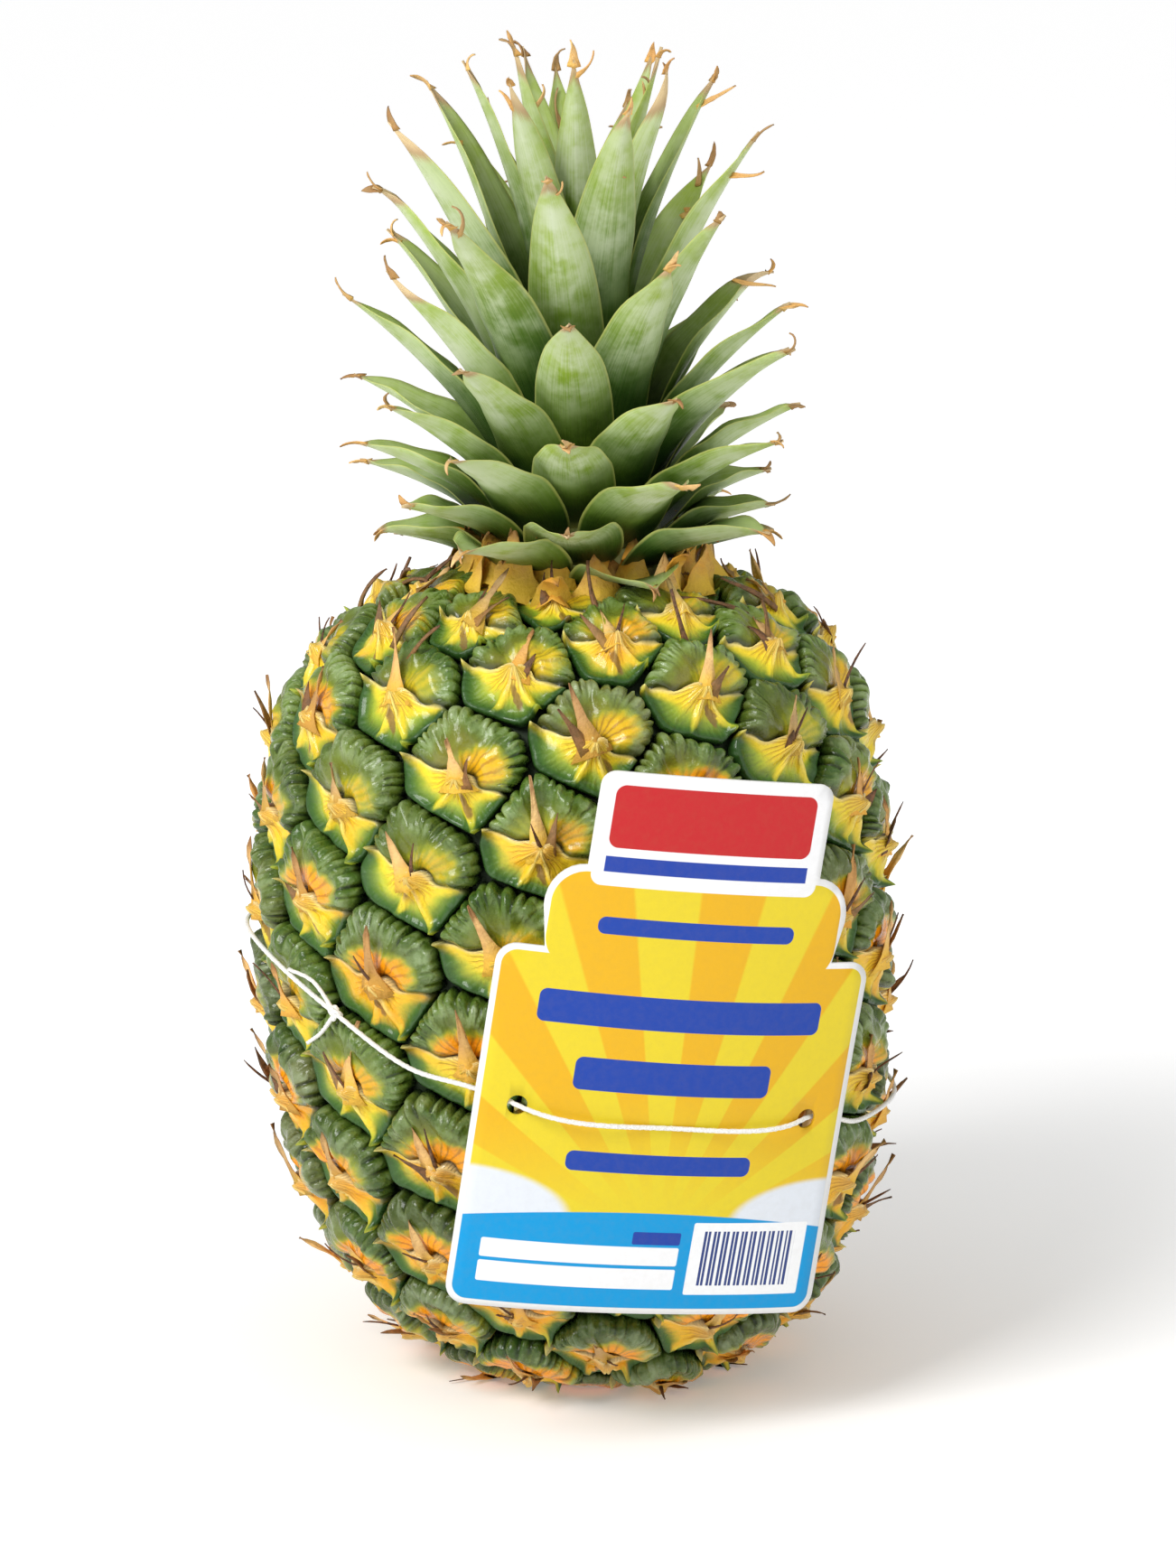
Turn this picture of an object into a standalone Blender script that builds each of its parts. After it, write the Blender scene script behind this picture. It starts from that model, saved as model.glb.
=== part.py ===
"""A ripe pineapple that stands on its flat base: the body with its eyes, the crown of stiff leaves,
and a swing tag on a thin string round the body.

Units are metres and +Z is up. The origin is the centre of the small flat base. The front, where the tag
hangs, faces -Y. Azimuths are in degrees, from the front towards +X.
"""

import math

import bmesh
import bpy
from mathutils import Matrix, Vector

# Body: a barrel of revolution that leans a little to -X, with one low dome for each eye
BODY_RADIUS = 0.0625  # to the middle of the relief
BELLY_HEIGHT = 0.088  # where the body is widest
UPPER_HALF = 0.0776
LOWER_HALF = 0.0910
UPPER_ROUNDNESS = 3.2
LOWER_ROUNDNESS = 2.5
BODY_TOP = 0.165
BASE_RADIUS = 0.024
SHOULDER_RADIUS = 0.021
LEAN = 0.0055
RINGS = 38
COLUMNS = 72

# Eyes: a double spiral of cells. At each level two stand opposite each other, turned from the two below
EYE_TURN = 68.4
EYE_START = 176.0
FIRST_PAIR = 0.6  # how many eyes' room lies below the first pair
EYE_AREA = 540e-6  # of a cell at the belly
EYE_SHRINK = 0.30  # how much narrower the cells are at both ends
EYE_REACH = 0.0135  # from an eye's middle to its cell's corner
DOME = 0.0026
GROOVE = 0.0026

# Crown: leaves on a tapering stem in 13 upright ranks, from flat and short ones to upright and long ones
CROWN_X = -0.004
STEM_FOOT = 0.1653
STEM_TOP = 0.1950
FIRST_ROOT = 0.1664
ROOT_STEP = 0.00055
ROOT_RADIUS = 0.0170
ROOT_TAPER = 0.00015
RANK_TURN = 138.46
FIRST_RANK = 24.7
LEAF_COUNT = 54
HEART_COUNT = 10
LEAF_LENGTH = 0.025
LENGTH_STEP = 0.00035
LENGTH_GROWTH = 0.000011
LONGEST_LEAF = 0.075
LEAF_LIFT = 10.0
LIFT_STEP = 1.15
LEAF_ARCH = 14.0
STEEPEST = 89.0
LEAF_WIDTH = 0.0118
WIDTH_STEP = 0.00013
UPPER_WIDTH = 0.0088
HEART_WIDTH = 0.0070
LEAF_THICKNESS = 0.0010
CHANNEL = 0.30
GAP = 0.0003  # what touching pieces keep

# Leaves that stand out from that rule: (turn in degrees, lift in degrees, length factor)
LEAF_CHARACTER = {
    1: (0, -5, 0.75),
    4: (0, 3, 1.15),
    6: (0, 2, 1.20),
    7: (0, -4, 0.92),
    11: (0, 0, 0.88),
    12: (0, 0, 0.92),
    14: (0, 2, 1.20),
    15: (0, -6, 1.15),
    16: (0, -4, 0.88),
    17: (0, 2, 1.20),
    19: (0, 0, 1.20),
    20: (0, -3, 0.98),
    23: (0, -5, 1.00),
    28: (0, -9, 1.05),
    32: (0, -7, 1.12),
    33: (0, 2, 1.12),
    37: (0, -2, 0.92),
    42: (0, -4, 0.88),
    43: (0, -5, 1.10),
    45: (0, 3, 0.92),
    48: (-6, -1, 1.00),
    50: (0, 1, 1.00),
    51: (-2, -4, 1.04),
    53: (-9, 0, 1.00),
}

# Heart: the young leaves in the middle, grown together at their foot
HEART_FOOT = 0.1953
HEART_TOP = 0.2084
HEART_RADIUS = 0.0078
HEART_TIP_RADIUS = 0.0030
HEART_SINK = 0.0030  # how deep the young leaves' feet go into the core
HEART_ROOT = 0.1963
HEART_ROOT_STEP = 0.0003

# Tag: a thin card with a plate, round shoulders and a panel, bent round an upright axis
TAG_CENTRE = (0.0125, -0.0685, 0.0662)
TAG_YAW = 17.0
TAG_TILT = 5.0
TAG_ROLL = 7.6
TAG_THICKNESS = 0.0006
TAG_BEND_RADIUS = 0.165
PANEL_WIDTH = 0.077
PANEL_HEIGHT = 0.0736
PANEL_CORNER = 0.004
NECK_WIDTH = 0.059
SHOULDER_WIDTH = 0.062
SHOULDER_HEIGHT = 0.018
PLATE_WIDTH = 0.0475
PLATE_HEIGHT = 0.036  # above the panel
PLATE_CORNER = 0.003
HOLE_X = 0.030
HOLE_Z = 0.0045
HOLE_RADIUS = 0.002

# String: it lies on the tops of the eyes, behind the card's sides, and crosses the card's front
STRING_RADIUS = 0.0005
STRING_STEPS = 4  # tube points for each stretch of the route
STRING_CLEARANCE = 0.0010
STRING_ROUTE = (  # (azimuth, height in mm), from the tag's right side round the back to its left side
    (58, 59),
    (75, 58),
    (100, 57),
    (130, 60),
    (160, 65),
    (190, 74),
    (220, 83),
    (250, 90),
    (275, 94),
    (295, 93),
    (316, 86),
    (331, 78),
)
KNOT_AT = (316, 86)
KNOT_RADIUS = 0.0019
TAILS = (((311, 91), (303, 92)), ((312, 81), (308, 78)))


def clear_scene():
    for obj in list(bpy.data.objects):
        bpy.data.objects.remove(obj, do_unlink=True)


def material(name, colour, roughness):
    made = bpy.data.materials.new(name)
    made.use_nodes = True
    shader = made.node_tree.nodes["Principled BSDF"]
    shader.inputs["Base Color"].default_value = (*colour, 1.0)
    shader.inputs["Roughness"].default_value = roughness
    shader.inputs["Metallic"].default_value = 0.0
    return made


def mesh_object(name, points, faces, look, smooth=True):
    mesh = bpy.data.meshes.new(name)
    mesh.from_pydata([tuple(point) for point in points], [], faces)
    mesh.validate()
    obj = bpy.data.objects.new(name, mesh)
    bpy.context.scene.collection.objects.link(obj)
    shell = bmesh.new()
    shell.from_mesh(mesh)
    bmesh.ops.recalc_face_normals(shell, faces=shell.faces)
    shell.to_mesh(mesh)
    shell.free()
    mesh.materials.append(look)
    if smooth:
        mesh.shade_smooth()
    return obj


def smoothstep(low, high, value):
    t = min(max((value - low) / (high - low), 0.0), 1.0)
    return t * t * (3.0 - 2.0 * t)


# Body


def body_radius(height):
    """The barrel's radius at a height, without its relief."""
    if height > BELLY_HEIGHT:
        half, power = UPPER_HALF, UPPER_ROUNDNESS
    else:
        half, power = LOWER_HALF, LOWER_ROUNDNESS
    reach = min(abs(height - BELLY_HEIGHT) / half, 1.0)
    return BODY_RADIUS * (1.0 - reach**power) ** (1.0 / power)


def body_axis(height):
    """Where the barrel's own axis is along X at a height."""
    return -LEAN * math.sin(0.75 * math.pi * min(max(height / BODY_TOP, 0.0), 1.0))


def on_body(azimuth, height, out):
    """The point that stands out from the barrel by the given distance."""
    radius = body_radius(height) + out
    turn = math.radians(azimuth)
    return Vector((body_axis(height) + radius * math.sin(turn), -radius * math.cos(turn), height))


def profile():
    """Ring heights from base to top, evenly spaced along the barrel's outline."""
    fine = [BODY_TOP * i / 400 for i in range(401)]
    run = [0.0]
    for low, high in zip(fine, fine[1:]):
        run.append(run[-1] + math.hypot(high - low, body_radius(high) - body_radius(low)))
    heights = []
    for ring in range(RINGS + 1):
        wanted = run[-1] * ring / RINGS
        i = max(j for j in range(len(run)) if run[j] <= wanted + 1e-12)
        heights.append(fine[i])
    return heights, fine, run


def eye_counts(fine, run):
    """How many eyes lie below each fine height."""
    counts = [0.0]
    middle = run[-1] / 2
    for i in range(1, len(fine)):
        end = abs(run[i] - middle) / middle
        area = EYE_AREA * (1.0 - EYE_SHRINK * end**2) ** 2
        step = 2.0 * math.pi * body_radius((fine[i] + fine[i - 1]) / 2) * (run[i] - run[i - 1])
        counts.append(counts[-1] + step / area)
    return counts


def eye_relief(azimuth, count, radius, spread):
    """Height over the barrel: one dome for each cell, with a groove where two of them meet."""
    nearest = 1.0
    for pair in range(int(count / 2) - 7, int(count / 2) + 9):
        turn = (azimuth - EYE_START - EYE_TURN * pair + 90.0) % 180.0 - 90.0
        across = math.radians(turn) * radius
        along = (count - 2 * pair - FIRST_PAIR) * spread
        nearest = min(nearest, math.hypot(across, along))
    return DOME - (DOME + GROOVE) * min(nearest / EYE_REACH, 1.0) ** 2


def make_fruit():
    heights, fine, run = profile()
    counts = eye_counts(fine, run)
    points = [Vector((0.0, 0.0, 0.0))]
    for ring, height in enumerate(heights):
        i = fine.index(height)
        radius = body_radius(height)
        slope = max(counts[min(i + 1, 400)] - counts[max(i - 1, 0)], 1e-6)
        spread = (run[min(i + 1, 400)] - run[max(i - 1, 0)]) / slope
        fade = smoothstep(0.026, 0.042, radius)
        for column in range(COLUMNS):
            azimuth = 360.0 * column / COLUMNS
            out = fade * eye_relief(azimuth, counts[i], radius, spread)
            if ring == 0:
                out = BASE_RADIUS - radius
            elif ring == RINGS:
                out = SHOULDER_RADIUS - radius
            points.append(on_body(azimuth, height, out))
    points.append(Vector((body_axis(BODY_TOP), 0.0, BODY_TOP)))
    faces = []
    top = len(points) - 1
    last = 1 + RINGS * COLUMNS
    for column in range(COLUMNS):
        beside = (column + 1) % COLUMNS
        faces.append((0, 1 + beside, 1 + column))
        faces.append((top, last + column, last + beside))
        for ring in range(RINGS):
            low = 1 + ring * COLUMNS
            high = low + COLUMNS
            faces.append((low + column, low + beside, high + beside, high + column))
    look = material("fruit_rind", (0.34, 0.30, 0.07), 0.5)
    mesh_object("fruit", points, faces, look)


# Crown


def leaf_rule(index):
    """Azimuth, root radius, root height, length, lift and half width of a leaf, counted from the bottom."""
    turn, lift, stretch = LEAF_CHARACTER.get(index + 1, (0, 0, 1.0))
    length = min(LEAF_LENGTH + LENGTH_STEP * index + LENGTH_GROWTH * index**2, LONGEST_LEAF)
    width = max(LEAF_WIDTH - WIDTH_STEP * index, UPPER_WIDTH) if index < LEAF_COUNT else HEART_WIDTH
    return {
        "azimuth": FIRST_RANK - RANK_TURN * index + turn,
        "root_radius": ROOT_RADIUS - ROOT_TAPER * index,
        "root_height": FIRST_ROOT + ROOT_STEP * index,
        "length": length * stretch,
        "lift": min(LEAF_LIFT + LIFT_STEP * index + lift, STEEPEST - 3.0),
        "half_width": width,
    }


def leaf_width(along):
    """Half width along a blade, as a share of its widest: waisted at the foot, then a long taper."""
    foot = 0.66 + 0.34 * math.sin(math.pi / 2 * min(along / 0.30, 1.0))
    taper = 1.0 - max((along - 0.30) / 0.70, 0.0) ** 1.9
    return foot * taper


def blade(rule, sink=0.0, segments=6, halves=2):
    """Points and faces of one channelled blade that lies on a surface of revolution round the crown's axis."""
    arch = min(LEAF_ARCH, STEEPEST - rule["lift"])
    radius = rule["root_radius"] + GAP + LEAF_THICKNESS / 2 - sink
    height = rule["root_height"]
    step = rule["length"] / segments
    points, faces = [], []
    across = 2 * halves
    for row in range(segments):
        along = row / segments
        slope = math.radians(rule["lift"] + arch * (1.0 - 2.0 * along))
        width = rule["half_width"] * leaf_width(along)
        channel = CHANNEL * width * smoothstep(0.05, 0.5, along)
        thick = LEAF_THICKNESS * (1.0 - 0.4 * along) / 2
        for side in (1, -1):
            for column in range(across + 1):
                share = column / halves - 1.0
                if side == -1 and abs(share) == 1.0:
                    continue
                lift = channel * share**2 + side * thick * (1.0 - share**2)
                reach = radius - lift * math.sin(slope)
                turn = math.radians(rule["azimuth"]) + share * width / max(radius, 0.010)
                points.append(
                    (
                        CROWN_X + reach * math.sin(turn),
                        -reach * math.cos(turn),
                        height + lift * math.cos(slope),
                    )
                )
        middle = math.radians(rule["lift"] + arch * (1.0 - 2.0 * (row + 0.5) / segments))
        radius += step * math.cos(middle)
        height += step * math.sin(middle)
    turn = math.radians(rule["azimuth"])
    points.append((CROWN_X + radius * math.sin(turn), -radius * math.cos(turn), height))
    tip = len(points) - 1
    ring = 2 * across
    # Round each row: along the upper side, then back along the lower one
    order = list(range(across + 1)) + list(range(ring - 1, across, -1))
    for row in range(segments):
        here = [row * ring + i for i in order]
        if row == segments - 1:
            faces += [(here[i], here[(i + 1) % ring], tip) for i in range(ring)]
            continue
        there = [i + ring for i in here]
        for i in range(ring):
            j = (i + 1) % ring
            # Both sides are split along the same diagonals, so that they never cross at the thin edges
            if (i // halves) % 2 == 0:
                faces += [(here[i], here[j], there[j]), (here[i], there[j], there[i])]
            else:
                faces += [(here[i], here[j], there[i]), (here[j], there[j], there[i])]
    for i in range(across):
        foot = (order[i], order[i + 1], order[ring - i - 1], order[(ring - i) % ring])
        faces.append(tuple(dict.fromkeys(foot)))
    return points, faces


def make_crown():
    stem_look = material("stem_green", (0.42, 0.48, 0.22), 0.6)
    leaf_look = material("leaf_green", (0.20, 0.32, 0.11), 0.45)
    stem_height = STEM_TOP - STEM_FOOT
    bpy.ops.mesh.primitive_cone_add(
        vertices=32,
        radius1=ROOT_RADIUS - 0.0005,
        radius2=ROOT_RADIUS - ROOT_TAPER * LEAF_COUNT - 0.0005,
        depth=stem_height,
        location=(CROWN_X, 0.0, STEM_FOOT + stem_height / 2),
    )
    stem = bpy.context.object
    stem.name = "crown_stem"
    stem.data.materials.append(stem_look)
    for index in range(LEAF_COUNT):
        points, faces = blade(leaf_rule(index))
        mesh_object(f"leaf_{index + 1:02d}", points, faces, leaf_look)
    make_heart(leaf_look)


def make_heart(look):
    """The innermost leaves and the short core that they share, joined into one solid."""
    depth = HEART_TOP - HEART_FOOT
    bpy.ops.mesh.primitive_cone_add(
        vertices=24,
        radius1=HEART_RADIUS,
        radius2=HEART_TIP_RADIUS,
        depth=depth,
        location=(CROWN_X, 0.0, HEART_FOOT + depth / 2),
    )
    heart = bpy.context.object
    heart.name = "crown_heart"
    heart.data.materials.append(look)
    for index in range(LEAF_COUNT, LEAF_COUNT + HEART_COUNT):
        rule = leaf_rule(index)
        rule["root_height"] = HEART_ROOT + HEART_ROOT_STEP * (index - LEAF_COUNT)
        points, faces = blade(rule, sink=HEART_SINK)
        young = mesh_object(f"heart_leaf_{index}", points, faces, look)
        join_shape(heart, young, "MANIFOLD")  # EXACT loses some of these thin blades


def join_shape(obj, helper, solver="EXACT"):
    """Joins a helper to an object with a Boolean, and keeps the helper out of the model."""
    helper.hide_render = True
    helper.display_type = "WIRE"
    joined = obj.modifiers.new(helper.name, "BOOLEAN")
    joined.operation = "UNION"
    joined.solver = solver
    joined.object = helper


# Tag


def tag_frame():
    turn = Matrix.Rotation(math.radians(TAG_YAW), 4, "Z")
    tilt = Matrix.Rotation(math.radians(TAG_TILT), 4, "X")
    roll = Matrix.Rotation(math.radians(TAG_ROLL), 4, "Y")
    return Matrix.Translation(TAG_CENTRE) @ turn @ tilt @ roll


def on_tag(across, up, out):
    """The point on the bent card: across and up from the panel's centre, and out from the card."""
    angle = across / TAG_BEND_RADIUS
    radius = TAG_BEND_RADIUS + out
    local = Vector((radius * math.sin(angle), TAG_BEND_RADIUS - radius * math.cos(angle), up))
    return tag_frame() @ local


def corner(centre, radius, start, steps=4):
    """A quarter circle of points, anticlockwise."""
    return [
        (
            centre[0] + radius * math.cos(math.radians(start + 90 * i / steps)),
            centre[1] + radius * math.sin(math.radians(start + 90 * i / steps)),
        )
        for i in range(steps + 1)
    ]


def tag_outline():
    """The card's outline, anticlockwise from the panel's lower right corner."""
    half, low, high = PANEL_WIDTH / 2, -PANEL_HEIGHT / 2, PANEL_HEIGHT / 2
    right = corner((half - PANEL_CORNER, low + PANEL_CORNER), PANEL_CORNER, -90)
    right += corner((half - PANEL_CORNER, high - PANEL_CORNER), PANEL_CORNER, 0)
    right.append((NECK_WIDTH / 2, high))
    # The shoulder is a half ellipse that bulges from the neck and closes on the plate
    bulge = SHOULDER_WIDTH - PLATE_WIDTH
    for i in range(1, 6):
        angle = math.radians(-30 + 24 * i)
        right.append(
            (
                PLATE_WIDTH / 2 + bulge / 2 * math.cos(angle),
                high + SHOULDER_HEIGHT * (0.5 + 0.45 * math.sin(angle)),
            )
        )
    top = high + PLATE_HEIGHT
    right += corner((PLATE_WIDTH / 2 - PLATE_CORNER, top - PLATE_CORNER), PLATE_CORNER, 0)
    left = [(-x, z) for x, z in reversed(right)]
    return right + left


def make_tag():
    curve = bpy.data.curves.new("tag", "CURVE")
    curve.dimensions = "2D"
    curve.fill_mode = "BOTH"
    curve.extrude = TAG_THICKNESS / 2
    loops = [tag_outline()]
    for side in (-1, 1):
        loops.append(
            [
                (
                    side * HOLE_X + HOLE_RADIUS * math.cos(2 * math.pi * i / 12),
                    HOLE_Z + HOLE_RADIUS * math.sin(2 * math.pi * i / 12),
                )
                for i in range(12)
            ]
        )
    for loop in loops:
        spline = curve.splines.new("POLY")
        spline.points.add(len(loop) - 1)
        for point, (x, z) in zip(spline.points, loop):
            point.co = (x, z, 0.0, 1.0)
        spline.use_cyclic_u = True
    flat = bpy.data.objects.new("tag_outline", curve)
    bpy.context.scene.collection.objects.link(flat)
    mesh = bpy.data.meshes.new_from_object(flat)
    bpy.data.objects.remove(flat, do_unlink=True)
    card = bmesh.new()
    card.from_mesh(mesh)
    bmesh.ops.remove_doubles(card, verts=card.verts, dist=1e-6)
    bmesh.ops.dissolve_limit(card, angle_limit=0.001, verts=card.verts, edges=card.edges)
    for i in range(-3, 4):
        everything = card.verts[:] + card.edges[:] + card.faces[:]
        cut = (i * PANEL_WIDTH / 8, 0.0, 0.0)
        bmesh.ops.bisect_plane(card, geom=everything, dist=1e-7, plane_co=cut, plane_no=(1, 0, 0))
    bmesh.ops.triangulate(card, faces=card.faces)
    for vert in card.verts:
        vert.co = on_tag(vert.co.x, vert.co.y, vert.co.z)
    bmesh.ops.recalc_face_normals(card, faces=card.faces)
    if card.calc_volume(signed=True) < 0:
        bmesh.ops.reverse_faces(card, faces=card.faces)
    card.to_mesh(mesh)
    card.free()
    tag = bpy.data.objects.new("tag", mesh)
    bpy.context.scene.collection.objects.link(tag)
    mesh.materials.clear()
    mesh.materials.append(material("tag_card", (0.92, 0.72, 0.12), 0.4))


# String


def string_route():
    """The closed loop's own points: through the card's two holes, then round the body."""
    over = TAG_THICKNESS / 2 + STRING_RADIUS + 0.0003
    under = -0.0018
    points = []
    for side in (-1, 1):
        passage = [
            on_tag(side * (HOLE_X + 0.0085), HOLE_Z + 0.0012, 2 * under),
            on_tag(side * (HOLE_X + 0.0024), HOLE_Z + 0.0004, under),
            on_tag(side * HOLE_X, HOLE_Z, 0.0),
            on_tag(side * (HOLE_X - 0.0026), HOLE_Z - 0.0005, over),
        ]
        points += passage if side < 0 else [on_tag(0.0, HOLE_Z - 0.0020, over)] + passage[::-1]
    out = DOME + STRING_RADIUS + STRING_CLEARANCE
    points += [on_body(azimuth, height / 1000, out) for azimuth, height in STRING_ROUTE]
    return points


def smooth_loop(points, steps):
    """Points along a smooth closed curve through the given ones, as many to each stretch."""
    count = len(points)
    spans = [(points[(i + 1) % count] - points[i]).length for i in range(count)]
    pulls = []
    for i in range(count):
        before, after = spans[i - 1], spans[i]
        ahead = (points[(i + 1) % count] - points[i]) / after
        behind = (points[i] - points[i - 1]) / before
        pulls.append((ahead * before + behind * after) / (before + after))
    loop = []
    for i in range(count):
        start, end = points[i], points[(i + 1) % count]
        leave, arrive = pulls[i] * spans[i], pulls[(i + 1) % count] * spans[i]
        for step in range(steps):
            t = step / steps
            place = start * (2 * t**3 - 3 * t**2 + 1) + end * (3 * t**2 - 2 * t**3)
            loop.append(place + leave * (t**3 - 2 * t**2 + t) + arrive * (t**3 - t**2))
    return loop


def tube(name, points, radius, closed):
    curve = bpy.data.curves.new(name, "CURVE")
    curve.dimensions = "3D"
    curve.bevel_depth = radius
    curve.bevel_resolution = 2
    curve.use_fill_caps = not closed
    spline = curve.splines.new("POLY")
    spline.points.add(len(points) - 1)
    for point, place in zip(spline.points, points):
        point.co = (*place, 1.0)
    spline.use_cyclic_u = closed
    obj = bpy.data.objects.new(name, curve)
    bpy.context.scene.collection.objects.link(obj)
    return obj


def as_mesh(obj, name, look):
    mesh = bpy.data.meshes.new_from_object(obj)
    bpy.data.objects.remove(obj, do_unlink=True)
    solid = bmesh.new()
    solid.from_mesh(mesh)
    bmesh.ops.remove_doubles(solid, verts=solid.verts, dist=1e-6)
    bmesh.ops.recalc_face_normals(solid, faces=solid.faces)
    solid.to_mesh(mesh)
    solid.free()
    mesh.materials.append(look)
    made = bpy.data.objects.new(name, mesh)
    bpy.context.scene.collection.objects.link(made)
    return made


def make_string():
    look = material("string_cotton", (0.88, 0.87, 0.84), 0.8)
    loop = smooth_loop(string_route(), STRING_STEPS)
    string = as_mesh(tube("tag_string_loop", loop, STRING_RADIUS, True), "tag_string", look)
    out = DOME + STRING_RADIUS + STRING_CLEARANCE
    knot_place = on_body(KNOT_AT[0], KNOT_AT[1] / 1000, out)
    bpy.ops.mesh.primitive_ico_sphere_add(subdivisions=2, radius=KNOT_RADIUS, location=knot_place)
    knot = bpy.context.object
    knot.name = "knot"
    join_shape(string, knot)
    for i, tail in enumerate(TAILS):
        ends = [knot_place] + [on_body(azimuth, height / 1000, out) for azimuth, height in tail]
        run = as_mesh(tube(f"tail_curve_{i}", ends, STRING_RADIUS, False), f"tail_{i}", look)
        join_shape(string, run)


clear_scene()
make_fruit()
make_crown()
make_tag()
make_string()
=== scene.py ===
# A ripe pineapple with its crown of leaves, a swing tag and the string that holds it.
# Metres, +Z up. The front, where the tag hangs, faces -Y. Azimuths run from the front towards +X.
import math
import random

import bmesh
import bpy
import numpy as np
from mathutils import Matrix, Vector


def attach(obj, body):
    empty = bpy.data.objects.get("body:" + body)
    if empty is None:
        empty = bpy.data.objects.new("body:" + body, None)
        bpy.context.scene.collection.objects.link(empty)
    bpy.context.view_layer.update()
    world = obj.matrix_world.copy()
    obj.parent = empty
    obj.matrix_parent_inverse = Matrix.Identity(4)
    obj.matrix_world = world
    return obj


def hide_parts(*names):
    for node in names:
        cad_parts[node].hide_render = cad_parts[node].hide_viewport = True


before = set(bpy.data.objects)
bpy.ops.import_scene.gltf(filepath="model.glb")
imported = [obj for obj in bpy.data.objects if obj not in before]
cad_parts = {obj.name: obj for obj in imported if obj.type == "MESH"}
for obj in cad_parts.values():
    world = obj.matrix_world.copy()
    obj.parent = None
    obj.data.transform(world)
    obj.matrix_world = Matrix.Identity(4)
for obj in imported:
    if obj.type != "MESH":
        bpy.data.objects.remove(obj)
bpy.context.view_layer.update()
bpy.ops.object.select_all(action="DESELECT")
print("stage: frame loaded")

fullTurn = 2 * math.pi
cameraSet = {
    "target": (-0.0022, 0.0, 0.122),
    "distance": 0.9,
    "elevation": 12.0,
    "lens": 99.85,
    "sensor": 36.0,
    "clipStart": 0.01,
}


def makeCamera():
    rise = math.radians(cameraSet["elevation"])
    back = Vector((0.0, -math.cos(rise), math.sin(rise)))
    bpy.ops.object.camera_add(location=Vector(cameraSet["target"]) + back * cameraSet["distance"])
    camera = bpy.context.object
    camera.rotation_euler = (math.radians(90.0) - rise, 0.0, 0.0)
    camera.data.sensor_fit = "VERTICAL"
    camera.data.sensor_height = cameraSet["sensor"]
    camera.data.lens = cameraSet["lens"]
    camera.data.clip_start = cameraSet["clipStart"]
    bpy.context.scene.camera = camera


makeCamera()


def mathNode(operation, turned=False):  # the method behind one operator of a Wire
    def method(self, other=0.0):
        first, second = (other, self) if turned else (self, other)
        return self.finish.add("Math", {"operation": operation}, {0: first, 1: second})

    return method


class Wire:  # an output socket that can be used in Python expressions
    def __init__(self, finish, socket):
        self.finish = finish
        self.socket = socket

    __add__, __radd__ = mathNode("ADD"), mathNode("ADD", True)
    __sub__, __rsub__ = mathNode("SUBTRACT"), mathNode("SUBTRACT", True)
    __mul__, __rmul__ = mathNode("MULTIPLY"), mathNode("MULTIPLY", True)
    __truediv__, __pow__ = mathNode("DIVIDE"), mathNode("POWER")
    most, size, sine = mathNode("MAXIMUM"), mathNode("ABSOLUTE"), mathNode("SINE")

    def rise(self, low, high, start=0.0, end=1.0):  # 0 below low, 1 above high, smooth between
        settings = {"interpolation_type": "SMOOTHSTEP"}
        return self.finish.add("MapRange", settings, {0: self, 1: low, 2: high, 3: start, 4: end})

    def fall(self, low, high):
        return self.rise(low, high, 1.0, 0.0)


def hexColour(code):  # linear colour of a screen colour such as "c08030"
    parts = [int(code[i : i + 2], 16) / 255 for i in (0, 2, 4)]
    return (*(p / 12.92 if p <= 0.04045 else ((p + 0.055) / 1.055) ** 2.4 for p in parts), 1.0)


class Finish:  # one material and its node tree
    def __init__(self, name, roughness=0.5, **constants):
        self.material = bpy.data.materials.new(name)
        self.material.use_nodes = True
        self.tree = self.material.node_tree
        self.sockets = self.tree.nodes["Principled BSDF"].inputs
        self.sockets["Roughness"].default_value = roughness
        for socket, value in constants.items():
            self.sockets[socket.replace("_", " ")].default_value = value

    def plug(self, socket, value):
        if isinstance(value, Wire):
            self.tree.links.new(value.socket, socket)
        else:
            socket.default_value = hexColour(value) if isinstance(value, str) else value

    def add(self, kind, settings=None, inputs=None, output=0):
        node = self.tree.nodes.new("ShaderNode" + kind)
        for key, value in (settings or {}).items():
            setattr(node, key, value)
        for key, value in (inputs or {}).items():
            self.plug(node.inputs[key], value)
        return Wire(self, node.outputs[output])

    def marks(self, *names):  # numbers that the mesh carries
        return [self.add("Attribute", {"attribute_name": name}, output="Fac") for name in names]

    def place(self):
        return self.add("TexCoord", output="Object")

    def parts(self, vector, axes="XY"):
        return [self.add("SeparateXYZ", {}, {0: vector}, axis) for axis in axes]

    def bearing(self, up, across):
        return self.add("Math", {"operation": "ARCTAN2"}, {0: up, 1: across})

    def noise(self, scale, detail=2.0, roughness=0.5, where=None, stretch=None):
        vector = where or self.place()
        if stretch:
            vector = self.add("VectorMath", {"operation": "MULTIPLY"}, {0: vector, 1: stretch})
        inputs = {"Vector": vector, "Scale": scale, "Detail": detail, "Roughness": roughness}
        return self.add("TexNoise", {}, inputs, "Fac")

    def blend(self, share, first, second):
        return self.add("Mix", {"data_type": "RGBA"}, {0: share, 6: first, 7: second}, 2)

    def coats(self, colour, *layers):  # each layer is its share and the colour it lays over those before
        for share, over in layers:
            colour = self.blend(share, colour, over)
        return colour

    def finishWith(self, colour, roughness=None, height=None, depth=0.001, strength=1.0):
        self.plug(self.sockets["Base Color"], colour)
        if roughness is not None:
            self.plug(self.sockets["Roughness"], roughness)
        if height is not None:
            inputs = {"Height": height, "Distance": depth, "Strength": strength}
            self.plug(self.sockets["Normal"], self.add("Bump", {}, inputs))
        return self.material


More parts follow.
